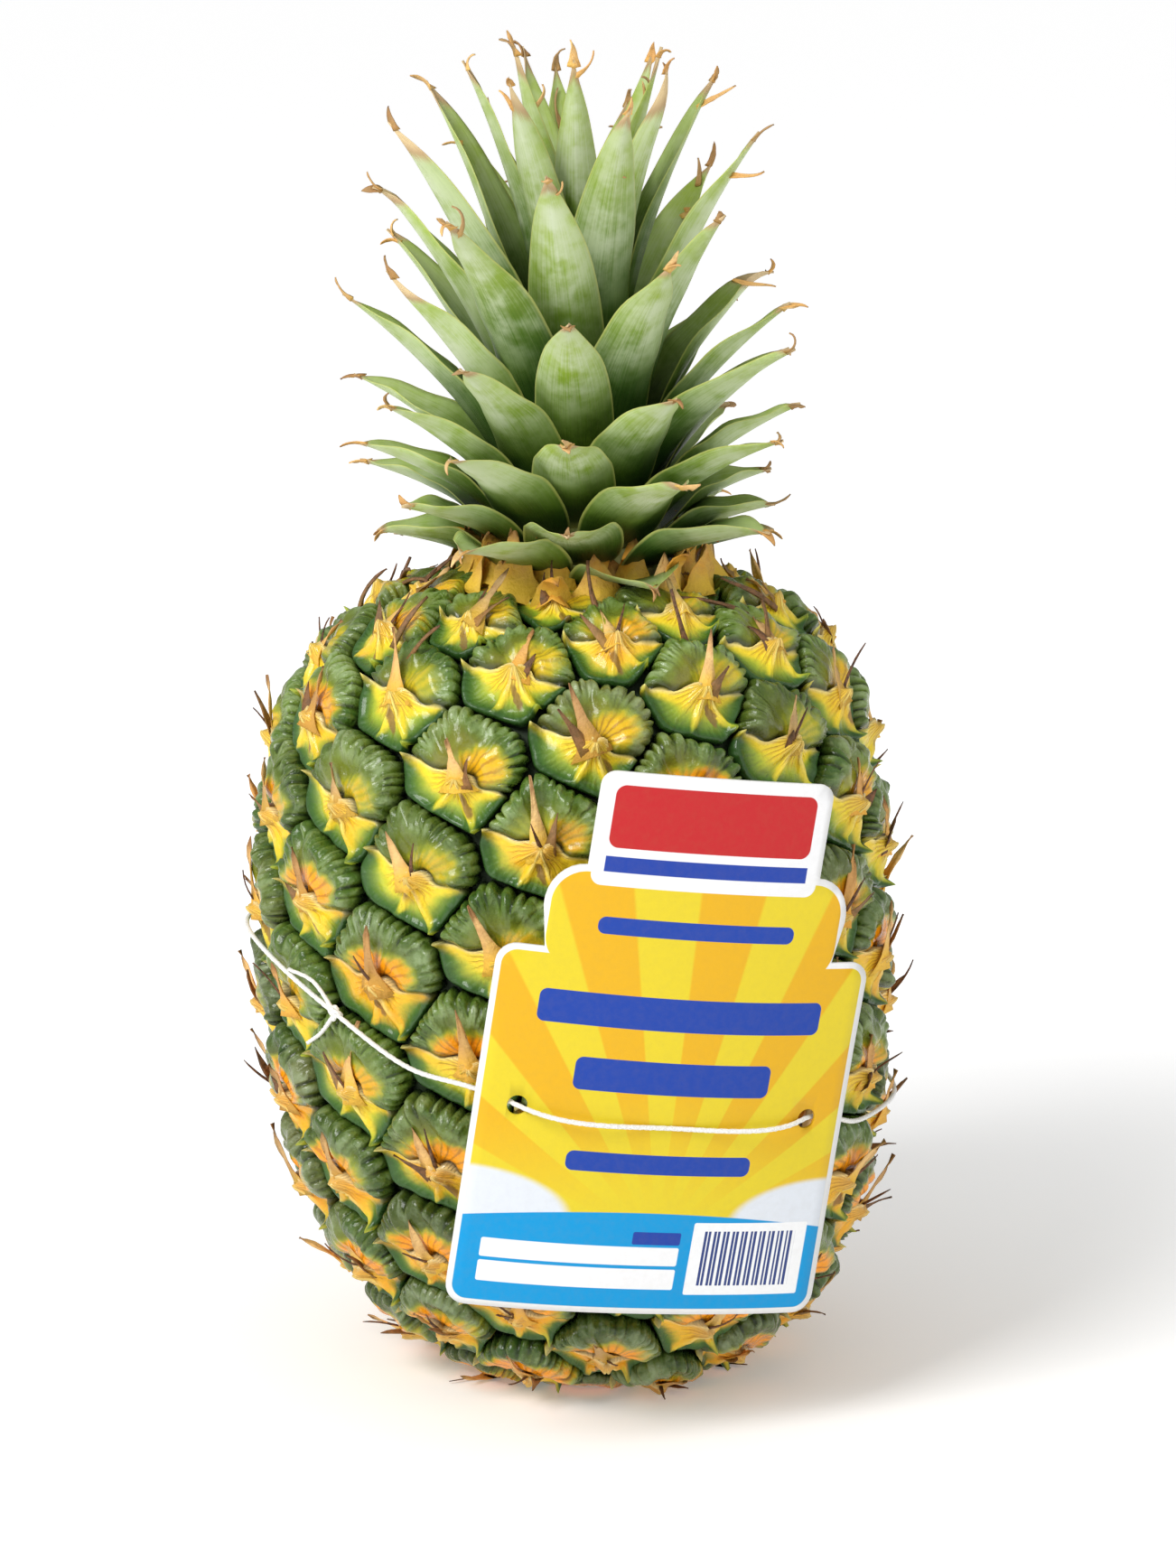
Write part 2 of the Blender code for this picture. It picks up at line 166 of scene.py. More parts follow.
def degreesFrom(rng, limits):  # a random angle, given in degrees, as radians
    return math.radians(rng.uniform(*limits))


def smoothStep(low, high, value):
    t = np.clip((value - low) / (high - low), 0.0, 1.0)
    return t * t * (3.0 - 2.0 * t)


def linkedPiece(name, data):
    piece = bpy.data.objects.new(name, data)
    bpy.context.scene.collection.objects.link(piece)
    return piece


def meshPiece(name, points, faces, look, marks=None, uv=None):
    mesh = bpy.data.meshes.new(name)
    mesh.from_pydata([tuple(p) for p in points], [], faces)
    shell = bmesh.new()
    shell.from_mesh(mesh)
    bmesh.ops.recalc_face_normals(shell, faces=shell.faces)
    shell.to_mesh(mesh)
    shell.free()
    mesh.materials.append(look)
    for key, values in (marks or {}).items():
        attribute = mesh.attributes.new(key, "FLOAT", "POINT")
        attribute.data.foreach_set("value", np.asarray(values, np.float32))
    if uv is not None:
        layer = mesh.uv_layers.new(name="flat")
        corners = np.empty(len(mesh.loops), np.int32)
        mesh.loops.foreach_get("vertex_index", corners)
        layer.data.foreach_set("uv", np.asarray(uv, np.float32)[corners].ravel())
    mesh.shade_smooth()
    return linkedPiece(name, mesh)


def keepPiece(piece, slotName, *nodes):
    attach(piece, "root")
    if nodes:
        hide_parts(*nodes)


def tubeFaces(rows, columns, closed=False):  # walls between rings of points, and flat ends on an open tube
    faces = []
    for row in range(rows if closed else rows - 1):
        low, high = row * columns, (row + 1) % rows * columns
        for i in range(columns):
            beside = (i + 1) % columns
            faces.append((low + i, low + beside, high + beside, high + i))
    if not closed:
        faces.append(tuple(range(columns)))
        faces.append(tuple(range((rows - 1) * columns, rows * columns)))
    return faces


def sheetFaces(rows, columns):  # both sides and the rim of a sheet whose upper points come before the lower
    faces = []
    under = rows * columns
    for row in range(rows - 1):
        for column in range(columns):
            a = row * columns + column
            above = a + columns
            if column < columns - 1:
                faces.append((a, a + 1, above + 1, above))
                faces.append((under + a, under + above, under + above + 1, under + a + 1))
            if column in (0, columns - 1):
                faces.append((a, above, under + above, under + a))
    for row in (0, rows - 1):
        for a in range(row * columns, (row + 1) * columns - 1):
            faces.append((a, under + a, under + a + 1, a + 1))
    return faces


# The fruit's outline is two rounded halves that meet at the belly
barrel = {
    "radius": 0.0625,
    "belly": 0.088,
    "upperHalf": 0.0776,
    "lowerHalf": 0.0910,
    "upperRoundness": 3.2,
    "lowerRoundness": 2.5,
    "top": 0.165,
    "lean": 0.0055,
    "slopeStep": 0.0015,
}


def barrelRadius(height):
    up = height > barrel["belly"]
    half = np.where(up, barrel["upperHalf"], barrel["lowerHalf"])
    power = np.where(up, barrel["upperRoundness"], barrel["lowerRoundness"])
    reach = np.minimum(np.abs(height - barrel["belly"]) / half, 1.0)
    return barrel["radius"] * (1.0 - reach**power) ** (1.0 / power)


def barrelAxis(height):
    return -barrel["lean"] * np.sin(0.75 * math.pi * np.clip(height / barrel["top"], 0.0, 1.0))


# The outline, run along from the base's middle to the top's, with flat ends
wallHeights = np.linspace(0.0, barrel["top"], 801)
wallRadii = barrelRadius(wallHeights)
wallRun = np.concatenate([[0.0], np.cumsum(np.hypot(np.diff(wallHeights), np.diff(wallRadii)))])
wallLength = wallRun[-1]
outlineRun = np.concatenate([[-wallRadii[0]], wallRun, [wallLength + wallRadii[-1]]])
outlineRadii = np.concatenate([[0.0], wallRadii, [0.0]])
outlineHeights = np.concatenate([[0.0], wallHeights, [barrel["top"]]])


def outlineAt(run):
    return np.interp(run, outlineRun, outlineRadii), np.interp(run, outlineRun, outlineHeights)


def onFruit(azimuth, run, out):  # azimuth in radians, run along the outline, out from the surface
    radius, height = outlineAt(run)
    (wideAfter, highAfter), (wideBefore, highBefore) = (
        outlineAt(run + step) for step in (barrel["slopeStep"], -barrel["slopeStep"])
    )
    outward, upward = wideAfter - wideBefore, highAfter - highBefore
    length = np.maximum(np.hypot(outward, upward), 1e-9)
    wide = radius + out * (upward / length)
    high = np.maximum(height + out * (-outward / length), 0.0)
    return np.stack([barrelAxis(height) + wide * np.sin(azimuth), -wide * np.cos(azimuth), high], axis=-1)


# The eyes stand in opposite pairs on a double spiral, spaced so that each has its share of the wall
eyeSet = {
    "turn": 68.4,  # degrees from one pair to the next
    "start": 176.0,
    "firstPair": 0.6,
    "area": 540e-6,
    "shrink": 0.30,
    "jitter": 0.0012,
    "seed": 11,
}


def eyePlaces():
    end = np.abs(wallRun - wallLength / 2) / (wallLength / 2)
    size = 1.0 - eyeSet["shrink"] * end**2
    ring = fullTurn * wallRadii / (eyeSet["area"] * size**2)
    counts = np.concatenate([[0.0], np.cumsum((ring[1:] + ring[:-1]) / 2 * np.diff(wallRun))])
    dice = random.Random(eyeSet["seed"])
    found = []
    for pair in range(int(counts[-1] / 2) + 1):
        count = 2 * pair + eyeSet["firstPair"]
        if count > counts[-1]:
            continue
        run = float(np.interp(count, counts, wallRun))
        radius = float(np.interp(run, wallRun, wallRadii))
        for side in (0, 1):
            azimuth = math.radians(eyeSet["start"] + eyeSet["turn"] * pair + 180.0 * side)
            found.append(
                {
                    "run": run + dice.uniform(-1, 1) * eyeSet["jitter"],
                    "azimuth": azimuth + dice.uniform(-1, 1) * eyeSet["jitter"] / radius,
                    "radius": radius,
                    "size": float(np.interp(run, wallRun, size)),
                    "height": float(np.interp(run, wallRun, wallHeights)),
                    "pair": pair,
                    "seed": dice.randrange(10**6),
                }
            )
    return found


eyes = eyePlaces()
pairs = eyes[-1]["pair"] + 1
print("stage: places for", len(eyes), "eyes")

# An eye is a leathery pillow above its hub and a pointed bract below. Its measures are in millimetres, and
# its angles in degrees
skinSet = {
    "bands": 6,
    "pillowRays": 84,
    "bractRays": 44,
    "gap": 0.03,
    "roll": (-10, 8),
    "rightWing": (6, 15),
    "leftWing": (163, 172),
    "rightDip": (9, 19),
    "leftDip": (5, 14),
    "hubWings": (66, 112),
    "lobes": (15, 20),
    "lobeWidth": (0.45, 1.55),
    "lobeStrength": (0.2, 1.5),
    "lobeStart": (0.46, 0.78),
    "lobeHeight": 0.85,
    "lobeLevel": 0.62,
    "crease": 1.9,
    "lip": 0.55,
    "ridge": 1.5,
    "runOn": 3.2,
    "swell": 0.8,
    "hubDrop": 1.8,  # how far the hub sits below the middle of its cell
    "farthest": 19.5,
    "bractCorners": 18.0,
    "pillowCorners": 12.0,
    "nearest": (0.045, 45.0),
    "heightPlay": (0.88, 1.08),
    "tilt": (-0.045, 0.045),
    "footDepth": 0.0045,
    "ripeness": 0.74,
    "ripeFall": 6.0,  # for each metre above the belly
    "ripePlay": (-0.28, 0.28),
}
ringPlaces = [0.0, 0.06, 0.12, 0.18, 0.25, 0.32, 0.39, 0.46, 0.53, 0.60, 0.66, 0.72, 0.775, 0.825, 0.87]
ringPlaces = np.array([*ringPlaces, 0.905, 0.935, 0.96, 0.98, 1.0])
pillowSteps = ((0, 2.0), (0.15, 2.2), (0.4, 3.0), (0.65, 3.5), (0.8, 3.4), (0.88, 3.0), (0.935, 2.3))
pillowSteps = (*pillowSteps, (0.97, 1.1), (1, -1.9))
bractSteps = ((0, 4.2), (0.1, 3.9), (0.3, 2.8), (0.6, 1.8), (0.8, 1.3), (0.9, 1.1), (0.96, 0.8), (1, -1.3))
pillowRise, bractRise = (np.interp(ringPlaces, *zip(*steps)) for steps in (pillowSteps, bractSteps))

# The bract's ridges: bearing and its play in degrees, strength, how far they run, and bend in degrees
bractRidges = (
    (-66, 7, 1.0, 1.15, 14),
    (-110, 9, 0.95, 1.10, -10),
    (-143, 6, 0.60, 0.60, -8),
    (-36, 6, 0.55, 0.62, 8),
    (-86, 4, 0.55, 0.55, 0),
    (-122, 5, 0.45, 0.45, 0),
)


def neighboursOf(eye):  # the next eyes, unrolled, in millimetres
    mostRun, mostAway = skinSet["nearest"]
    found = []
    for other in eyes:
        if other is eye or abs(other["run"] - eye["run"]) > mostRun:
            continue
        turn = (other["azimuth"] - eye["azimuth"] + math.pi) % fullTurn - math.pi
        across = turn * eye["radius"] * 1000
        along = (other["run"] - eye["run"]) * 1000
        if math.hypot(across, along) < mostAway:
            found.append((across, along))
    return np.array(found)


def borderReach(angles, around, drop, corners):  # how far a cell reaches from its hub in each direction
    ways = np.stack([np.cos(angles), np.sin(angles)], axis=-1)
    half = (around**2).sum(axis=1) / 2 + around[:, 1] * drop
    inverse = np.maximum(ways @ around.T, 0.0) / half
    return ((inverse**corners).sum(axis=-1)) ** (-1.0 / corners)


def eyeShape(eye):
    dice = random.Random(eye["seed"])
    around = neighboursOf(eye)
    size = eye["size"]
    places = ringPlaces[:, None]
    rays, bractRays, gap = skinSet["pillowRays"] + 1, skinSet["bractRays"], skinSet["gap"]

    def phase():
        return dice.uniform(0, 6)

    # Rays fan out from the hub; the crease where the pillow meets the bract's wings bends with the distance
    hubRight, hubLeft = (math.radians(degrees) for degrees in skinSet["hubWings"])
    roll = degreesFrom(dice, skinSet["roll"])
    close = np.exp(-((places * 13.0 / 3.0) ** 1.6))
    dip = np.exp(-(((places - 0.34) / 0.22) ** 2))
    right = roll - degreesFrom(dice, skinSet["rightWing"])
    left = roll + degreesFrom(dice, skinSet["leftWing"])
    fromRight = right - degreesFrom(dice, skinSet["rightDip"]) * dip + (hubRight - right) * close
    fromLeft = left + degreesFrom(dice, skinSet["leftDip"]) * dip + (hubLeft - left) * close
    upper = np.linspace(0.0, 1.0, rays)[None, :]
    lower = np.linspace(0.0, 1.0, bractRays + 1)[:-1]
    lower = (lower - 0.055 * np.sin(fullTurn * lower))[None, :]
    upperAngles = fromRight + (fromLeft - fromRight) * upper
    lowerAngles = fromLeft + gap + (fromRight + fullTurn - fromLeft - 2 * gap) * lower
    angles = np.concatenate([upperAngles, lowerAngles], axis=1)
    isBract = np.concatenate([np.zeros(rays), np.ones(bractRays)])[None, :]
    drop = skinSet["hubDrop"] * size
    bractReach = borderReach(angles, around, drop, skinSet["bractCorners"])
    reach = np.where(isBract > 0, bractReach, borderReach(angles, around, drop, skinSet["pillowCorners"]))
    out = places * np.minimum(reach, skinSet["farthest"] * size)
    # Lobes: round ribs with sharp valleys between, uneven in width, height and where they begin
    lobes = dice.randint(*skinSet["lobes"])
    widths = np.cumsum([0.0] + [dice.uniform(*skinSet["lobeWidth"]) for _ in range(lobes)])
    bendy = 0.030 * np.sin(places * 5.0 + phase() + upper * 7.0) * (1.0 - places)
    lobePhase = np.interp(upper + bendy, widths / widths[-1], np.arange(lobes + 1))
    which = np.clip(lobePhase.astype(int), 0, lobes - 1)

    def widened(values, beyond):  # the bract's rays have no lobes
        return np.concatenate([values, np.full((len(ringPlaces), bractRays), beyond)], axis=1)

    def eachLobe(limits):
        return np.array([dice.uniform(*limits) for _ in range(lobes)])[which]

    strength = widened(eachLobe(skinSet["lobeStrength"]), 0.0)
    begins = widened(eachLobe(skinSet["lobeStart"]), 0.5)
    lobe = widened(np.abs(np.sin(math.pi * lobePhase)) ** 0.6, 0.8)
    near = smoothStep(0.0, 1.0, (places - begins) / 0.34)
    out = out * (1.0 - 0.10 * smoothStep(0.62, 0.97, places) * (1.0 - lobe) * strength)
    across, along = out * np.cos(angles), out * np.sin(angles)
    uneven = 0.62 * np.sin(across * 0.62 + phase()) * np.sin(along * 0.7 + phase())
    uneven = uneven + 0.26 * np.sin(across * 1.5 + along * 0.8 + phase())
    outer = smoothStep(2.0, 6.0, out)
    pillow = pillowRise[:, None] + skinSet["lobeHeight"] * near * strength * (lobe - skinSet["lobeLevel"])
    folds = np.sin(angles * 5.0 + phase()) * 0.30 + np.sin(angles * 9.0 + phase()) * 0.18
    pillow = pillow + folds * smoothStep(0.18, 0.5, places) * (1.0 - smoothStep(0.8, 1.0, places))
    # The pillow dips under the bract's edges and has a swollen patch beside the tip
    fromEdge = out * np.minimum(angles - fromRight, fromLeft - angles)
    pillow = pillow - skinSet["crease"] * np.exp(-np.maximum(fromEdge, 0.0)) * smoothStep(0.3, 2.5, out)
    swell = np.exp(-(((across - 4.2 * size) / 3.8) ** 2 + ((along - 3.4 * size) / 2.8) ** 2))
    pillow = pillow + skinSet["swell"] * swell * dice.uniform(0.1, 1.0) + uneven * outer

    def awayFrom(degrees, curve):  # distance from a bent line that runs out from the hub
        bent = angles - math.radians(degrees) - roll - math.radians(curve) * (places - 0.5)
        return np.abs((bent + math.pi) % fullTurn - math.pi) * np.maximum(out, 0.8)

    inside = out * np.minimum(angles - fromLeft, fromRight + fullTurn - angles)
    lip = skinSet["lip"] * np.exp(-np.maximum(inside, 0.0) / 1.1) * smoothStep(0.08, 0.3, places)
    ridges = np.zeros_like(angles)
    bearings = [degrees + dice.uniform(-play, play) for degrees, play, _, _, _ in bractRidges]
    for degrees, (_, _, amount, farthest, curve) in zip(bearings, bractRidges):
        ends = 1.0 - smoothStep(farthest - 0.35, farthest, places)
        line = np.exp(-((awayFrom(degrees, curve) / (0.45 + 0.035 * out)) ** 2))
        ridges = np.maximum(ridges, amount * line * ends)
    hollow = smoothStep(0.1, 0.35, places) * (1 - smoothStep(0.75, 0.95, places))
    bract = bractRise[:, None] + lip + skinSet["ridge"] * (ridges - 0.75 * hollow) + 0.5 * uneven * outer
    # The longest ridge and the left wing run on across the groove
    longest = np.exp(-((awayFrom(bearings[0], bractRidges[0][4]) / 0.9) ** 2))
    wing = np.exp(-(((angles - fromLeft) * out / 1.1) ** 2))
    runOn = np.maximum(longest, wing) * smoothStep(0.84, 0.99, places)
    high = np.where(isBract > 0, bract + skinSet["runOn"] * runOn, pillow)
    high = high * dice.uniform(*skinSet["heightPlay"])
    high = high + (across * dice.uniform(*skinSet["tilt"]) + along * dice.uniform(*skinSet["tilt"]))
    fade = smoothStep(0.021, 0.036, eye["radius"])
    high = high * (0.55 + 0.45 * size) * (0.30 + 0.70 * fade)
    ripeness = skinSet["ripeness"] - (eye["height"] - barrel["belly"]) * skinSet["ripeFall"]
    ripeness += dice.uniform(*skinSet["ripePlay"])
    marks = {
        "bract": isBract,
        "reach": places,
        "lobe": 1.0 - near * strength * (1.0 - lobe),
        "ridge": np.maximum(ridges, runOn),
        "down": np.clip(-np.sin(angles - roll), 0.0, 1.0),
        "edge": np.where(isBract > 0, inside, fromEdge),
        "ripe": min(max(ripeness, 0.05), 1.0),
        "tone": dice.random(),
        "across": across,
        "along": along,
    }
    marks = {key: np.broadcast_to(values, angles.shape) for key, values in marks.items()}
    return across, along, high, marks


def eyeMesh(eye):
    across, along, high, marks = eyeShape(eye)
    azimuth = eye["azimuth"] + across / 1000 / eye["radius"]
    points = onFruit(azimuth, eye["run"] + along / 1000, high / 1000)
    rings, rays = across.shape
    hub = points[0].mean(axis=0)
    foot = onFruit(eye["azimuth"], eye["run"], -skinSet["footDepth"])
    flat = [hub] + list(points[1:].reshape(-1, 3)) + [foot]
    faces = []
    last = 1 + (rings - 2) * rays
    for ray in range(rays):
        beside = (ray + 1) % rays
        faces.append((0, 1 + ray, 1 + beside))
        for low in range(1, last, rays):
            faces.append((low + ray, low + rays + ray, low + rays + beside, low + beside))
        faces.append((last + ray, len(flat) - 1, last + beside))
    carried = {}
    for key, values in marks.items():
        carried[key] = np.concatenate([[values[0].mean()], values[1:].ravel(), [values[-1].mean()]])
    return np.array(flat), faces, carried


def rindFinish():
    f = Finish("rind", 0.4, Coat_Weight=0.36, Coat_Roughness=0.10, Specular_IOR_Level=0.26)
    bract, reach, lobe, ridge, down = f.marks("bract", "reach", "lobe", "ridge", "down")
    edge, ripe, tone, x, y = f.marks("edge", "ripe", "tone", "across", "along")
    broad = f.noise(75.0, 2.0, 0.5)
    middle = f.noise(330.0, 3.0, 0.6)
    fine = f.noise(1500.0, 3.0, 0.6)
    # Wrinkles that run out from the hub
    bearing = f.bearing(y, x) + (broad - 0.5) * 0.5 + (middle - 0.5) * 0.22
    wrinkle = ((bearing * 26.0).sine() * 0.5 + (bearing * 47.0 + tone * 9.0).sine() * 0.5) * 0.5 + 0.5
    wrinkle = wrinkle * reach.rise(0.45, 0.85)
    # Pillow: bottle green at the rim, olive inside, yellow to orange beside the tip
    green = f.blend((broad * 0.7 + middle * 0.5).rise(0.40, 0.85), "3a5a1c", "748f22")
    green = f.blend(tone.fall(0.0, 0.45) * 0.5, green, "4d4a1a")
    olive = f.blend((tone * 0.6 + broad * 0.5).rise(0.2, 0.9), "667220", "857a26")
    warm = f.blend((ripe + (middle - 0.5) * 0.4).rise(0.15, 0.75), "e8bc1e", "fb9f12")
    swirl = (broad - 0.5) * 1.5 + (middle - 0.5) * 1.0
    aside = ((x - 3.6) / 6.2) ** 2.0 + ((y - 2.2) / 4.2) ** 2.0 + swirl
    over = (x / 8.0) ** 2.0 + ((y - 1.6) / 5.2) ** 2.0 + swirl
    patch = aside.fall(0.0, 1.6) * (tone * 0.6 + 0.6)
    patch = patch.most(over.fall(0.0, 1.7) * ripe.rise(0.30, 0.75) * 1.1)
    streak = (bearing * 23.0 + tone * 8.0).sine() * 0.5 + 0.5
    amount = patch * (streak * 0.30 + 0.75) * (ripe * 0.45 + 0.60)
    bruise = reach.rise(0.6, 0.85) * (broad * 0.5 + tone * 0.5).rise(0.60, 0.80)
    # bloom: pale waxy bloom on the lobe crests near the rim, partly a painted highlight (silver glints)
    bloom = reach.rise(0.50, 0.8) * reach.fall(0.94, 1.0) * lobe.rise(0.6, 1.0)
    bloom = bloom * (broad * 0.5 + middle * 0.6).rise(0.45, 0.75)
    pillow = f.coats(
        green,
        ((reach + (middle - 0.5) * 0.3).fall(0.30, 0.85) * 0.85, olive),
        (wrinkle.rise(0.45, 0.95) * 0.16, "8c9440"),
        # Darker towards the bottom, through the ripeness mark that grows downwards: painted shade on the
        # lower eyes
        (ripe.rise(0.6, 1.0) * 0.40, "2c3c12"),
        (amount.rise(0.04, 0.50) * 0.9, "a3a82a"),
        (amount.rise(0.25, 0.95), warm),
        (amount.rise(0.3, 0.7) * streak.fall(0.0, 0.35) * 0.6, "a8601c"),
        (bruise * 0.35, "6d4a35"),
        # Painted shade in the valleys between the lobes
        (lobe.fall(0.25, 0.85) * 0.70, "15240e"),
        # Pale waxy bloom on the lobe crests, partly a painted highlight
        (bloom * 0.36, "b9c9ac"),
        # Painted shadow: the pillow darkens where it dips under the bract's edge
        (edge.fall(0.0, 1.6) * 0.80, "2a2c12"),
    )
    # Bract: yellow at the hub, along the wings and on the ridges, green between and at the bottom
    yellow = f.blend((ripe * 0.8 + (broad - 0.5) * 1.2).rise(0.25, 0.95), "f2d62c", "f6a81c")
    yellow = f.blend(reach.fall(0.05, 0.42) * (0.40 + ripe * 0.55), yellow, "e8b252")
    leafy = f.blend(reach.rise(0.50, 0.88), f.blend(tone, "b0bf2c", "93aa2a"), "3c641c")
    sunny = reach.fall(0.20, 0.98) * 0.95 + edge.fall(0.2, 3.8) * 0.62 + ridge * 0.95 + ripe * 0.45 + 0.10
    sunny = sunny + (middle - 0.5) * 0.45 + (broad - 0.5) * 0.35 - reach.rise(0.72, 1.0) * down * 0.55
    fold = (bearing * 31.0 + tone * 5.0).sine().rise(0.0, 0.9)
    fold = fold * reach.rise(0.04, 0.12) * reach.fall(0.25, 0.62)
    slit = ridge.fall(0.0, 0.22) * down.rise(0.35, 0.8) * reach.rise(0.15, 0.3) * reach.fall(0.5, 0.8)
    slit = slit * (wrinkle * 0.5 + middle).rise(0.72, 0.95)
    gash = ((x + 4.2 - tone * 5.0 + y * 0.35 + (middle - 0.5) * 2.0) / 0.75) ** 2.0
    gash = gash + ((y + 5.2) / 2.4) ** 2.0
    gash = gash.fall(0.5, 1.3) * (broad * 0.6 + tone * 0.5).rise(0.42, 0.52)
    flatter = 1.0 - ridge.rise(0.2, 0.8)
    leathery = f.coats(
        f.blend(sunny.rise(0.50, 1.25), leafy, yellow),
        (ridge.rise(0.35, 0.95) * reach.fall(0.35, 0.7) * 0.6, "efdd88"),
        (ridge.rise(0.30, 0.85) * reach.rise(0.55, 0.9) * 0.75, "b3bf34"),
        (fold * 0.45, "c9862a"),
        (slit * 0.85, "7a4a20"),
        (gash * 0.8, "7d5630"),
        (edge.fall(0.0, 1.1) * 0.65, "f5e2a2"),
        # Painted shade on the bract's flat outer part, next to the groove
        ((reach + (middle - 0.5) * 0.1).rise(0.80, 0.96) * flatter * 0.8, "26481a"),
    )
    colour = f.blend(bract, pillow, leathery)
    # Painted shade: the eye's rim darkens where it rolls down into the groove
    colour = f.blend(reach.rise(0.965, 1.0) * flatter * (1.0 - bract * 0.45), colour, "1a2c12")
    colour = f.blend(fine.rise(0.3, 0.75) * 0.18, colour, f.blend(0.5, colour, "20300f"))
    rough = 0.27 + bract * 0.18 + (middle - 0.5) * 0.2
    bumps = fine * 0.25 + middle * 0.7 + wrinkle * (0.75 - bract * 0.35) - fold * bract * 0.9
    return f.finishWith(colour, rough, bumps, 0.0008, 0.6)


def makeEyes():
    look = rindFinish()
    for band in range(skinSet["bands"]):
        points, faces, marks = [], [], {}
        offset = 0
        for eye in eyes:
            if eye["pair"] * skinSet["bands"] // pairs != band:
                continue
            these, theirs, carried = eyeMesh(eye)
            points.append(these)
            faces += [tuple(i + offset for i in face) for face in theirs]
            offset += len(these)
            for key, values in carried.items():
                marks.setdefault(key, []).append(values)
        marks = {key: np.concatenate(values) for key, values in marks.items()}
        piece = meshPiece(f"eyes_{band + 1}", np.concatenate(points), faces, look, marks)
        keepPiece(piece, "rind", *(["fruit"] if band == 0 else []))


coreSet = {
    "columns": 96,
    "baseRows": 10,
    "wallRows": 60,
    "topRows": 8,
    "depth": 0.0026,
    "baseDepth": 0.0004,
    "middleGap": 0.0006,
}


def makeCore():
    # What shows at the bottom of the grooves, its deep green darkened as painted shade, and the brown cut at
    # the base
    f = Finish("groove", 0.75)
    mottle = f.noise(260.0, 3.0, 0.6)
    (height,) = f.parts(f.place(), "Z")
    colour = f.blend(mottle.rise(0.35, 0.7), "16240f", "2a3d1c")
    colour = f.blend((height + (mottle - 0.5) * 0.006).fall(0.001, 0.006), colour, "6b4a26")
    look = f.finishWith(colour, None, mottle, 0.001, 0.6)
    c = coreSet
    base = np.linspace(outlineRun[0] + c["middleGap"], 0.0, c["baseRows"])
    wall = np.linspace(0.0, wallLength, c["wallRows"])[1:]
    top = np.linspace(wallLength, outlineRun[-1] - c["middleGap"], c["topRows"])[1:]
    points = []
    for run in (*base, *wall, *top):
        floor = 0.0004 + 0.0012 * smoothStep(0.010, 0.0, run - outlineRun[0])
        depth = c["depth"] if run > 0.001 else c["baseDepth"]
        for column in range(c["columns"]):
            spot = onFruit(fullTurn * column / c["columns"], run, -depth)
            spot[2] = max(spot[2], floor)
            points.append(spot)
    faces = tubeFaces(len(points) // c["columns"], c["columns"])
    keepPiece(meshPiece("core", points, faces, look), "rind")


makeEyes()
makeCore()
print("stage: eyes made")

tagSet = {
    "centre": (0.0125, -0.0685, 0.0662),
    "yaw": 17.0,
    "tilt": 5.0,
    "roll": 7.6,
    "thickness": 0.0006,
    "bendRadius": 0.165,
    "panelWidth": 0.077,
    "panelHeight": 0.0736,
    "panelCorner": 0.004,
    "neckWidth": 0.059,
    "shoulderWidth": 0.062,
    "shoulderHeight": 0.018,
    "plateWidth": 0.0475,
    "plateHeight": 0.036,
    "plateCorner": 0.003,
    "holeX": 0.030,
    "holeZ": 0.0045,
    "holeRadius": 0.002,
    "wave": 0.0005,  # the soft card waves a little
    "rowHeight": 0.0045,
    "touchHalfWidth": 0.040,
    "touchDepth": 0.0012,
    "touchHeights": (-0.039, 0.075),
}


def cardPlace():
    place = Matrix.Translation(tagSet["centre"])
    for angle, axis in (("yaw", "Z"), ("tilt", "X"), ("roll", "Y")):
        place = place @ Matrix.Rotation(math.radians(tagSet[angle]), 4, axis)
    return place


cardFrame = cardPlace()
cardBack = cardFrame.inverted()


def onTag(across, up, out):
    bend = tagSet["bendRadius"]
    angle = across / bend
    radius = bend + out
    return cardFrame @ Vector((radius * math.sin(angle), bend - radius * math.cos(angle), up))


def touchesCard(points):  # whether any of these points comes through the card
    bend = tagSet["bendRadius"]
    low, high = tagSet["touchHeights"]
    for point in points:
        local = cardBack @ point
        across = math.atan2(local.x, bend - local.y) * bend
        out = math.hypot(local.x, bend - local.y) - bend
        if abs(across) < tagSet["touchHalfWidth"] and low < local.z < high and out > -tagSet["touchDepth"]:
            return True
    return False


bladeSet = {
    "waistShare": 0.72,
    "uneven": (0.88, 1.12),
    "least": 0.00006,
    "wave": 0.12,
    "fold": 0.35,
    "rib": 0.16,
}


def paperBlade(origin, axes, length, width, bends, rng, segments, waist):
    # A thin folded blade from origin along the first axis; bends are its lift, its curl and its twist
    b = bladeSet
    rows = []
    place = Vector(origin)
    heading, side, normal = (Vector(axis) for axis in axes)
    lift, curl, twist = bends
    turn = Matrix.Rotation(lift, 3, side)
    heading, normal = turn @ heading, turn @ normal
    for row in range(segments + 1):
        t = row / segments
        narrowed = (1 - t) ** waist * b["waistShare"] + (1 - t) ** 0.6 * (1 - b["waistShare"])
        half = width * narrowed * rng.uniform(*b["uneven"]) + b["least"]
        wave = b["wave"] * width * math.sin(t * 9 + twist * 5)
        fold = b["fold"] * min(t * 2.4 - 0.9, 1.0)
        rows.append(
            [
                place - side * half + normal * (fold * half + wave * t),
                place - side * half * 0.45,
                place + normal * (b["rib"] + 0.22 * (1 - t)) * half,
                place + side * half * 0.5,
                place + side * half + normal * (fold * half - wave * t),
            ]
        )
        bend = Matrix.Rotation(curl / segments * (0.5 + t) + rng.uniform(-0.05, 0.05), 3, side)
        spin = Matrix.Rotation(twist / segments, 3, heading)
        heading = (bend @ heading).normalized()
        normal = (spin @ (bend @ normal)).normalized()
        side = heading.cross(normal).normalized()
        normal = side.cross(heading).normalized()
        place = place + heading * (length / segments)
    return rows


def newBlades():
    return [], [], {"along": [], "dark": [], "tone": []}


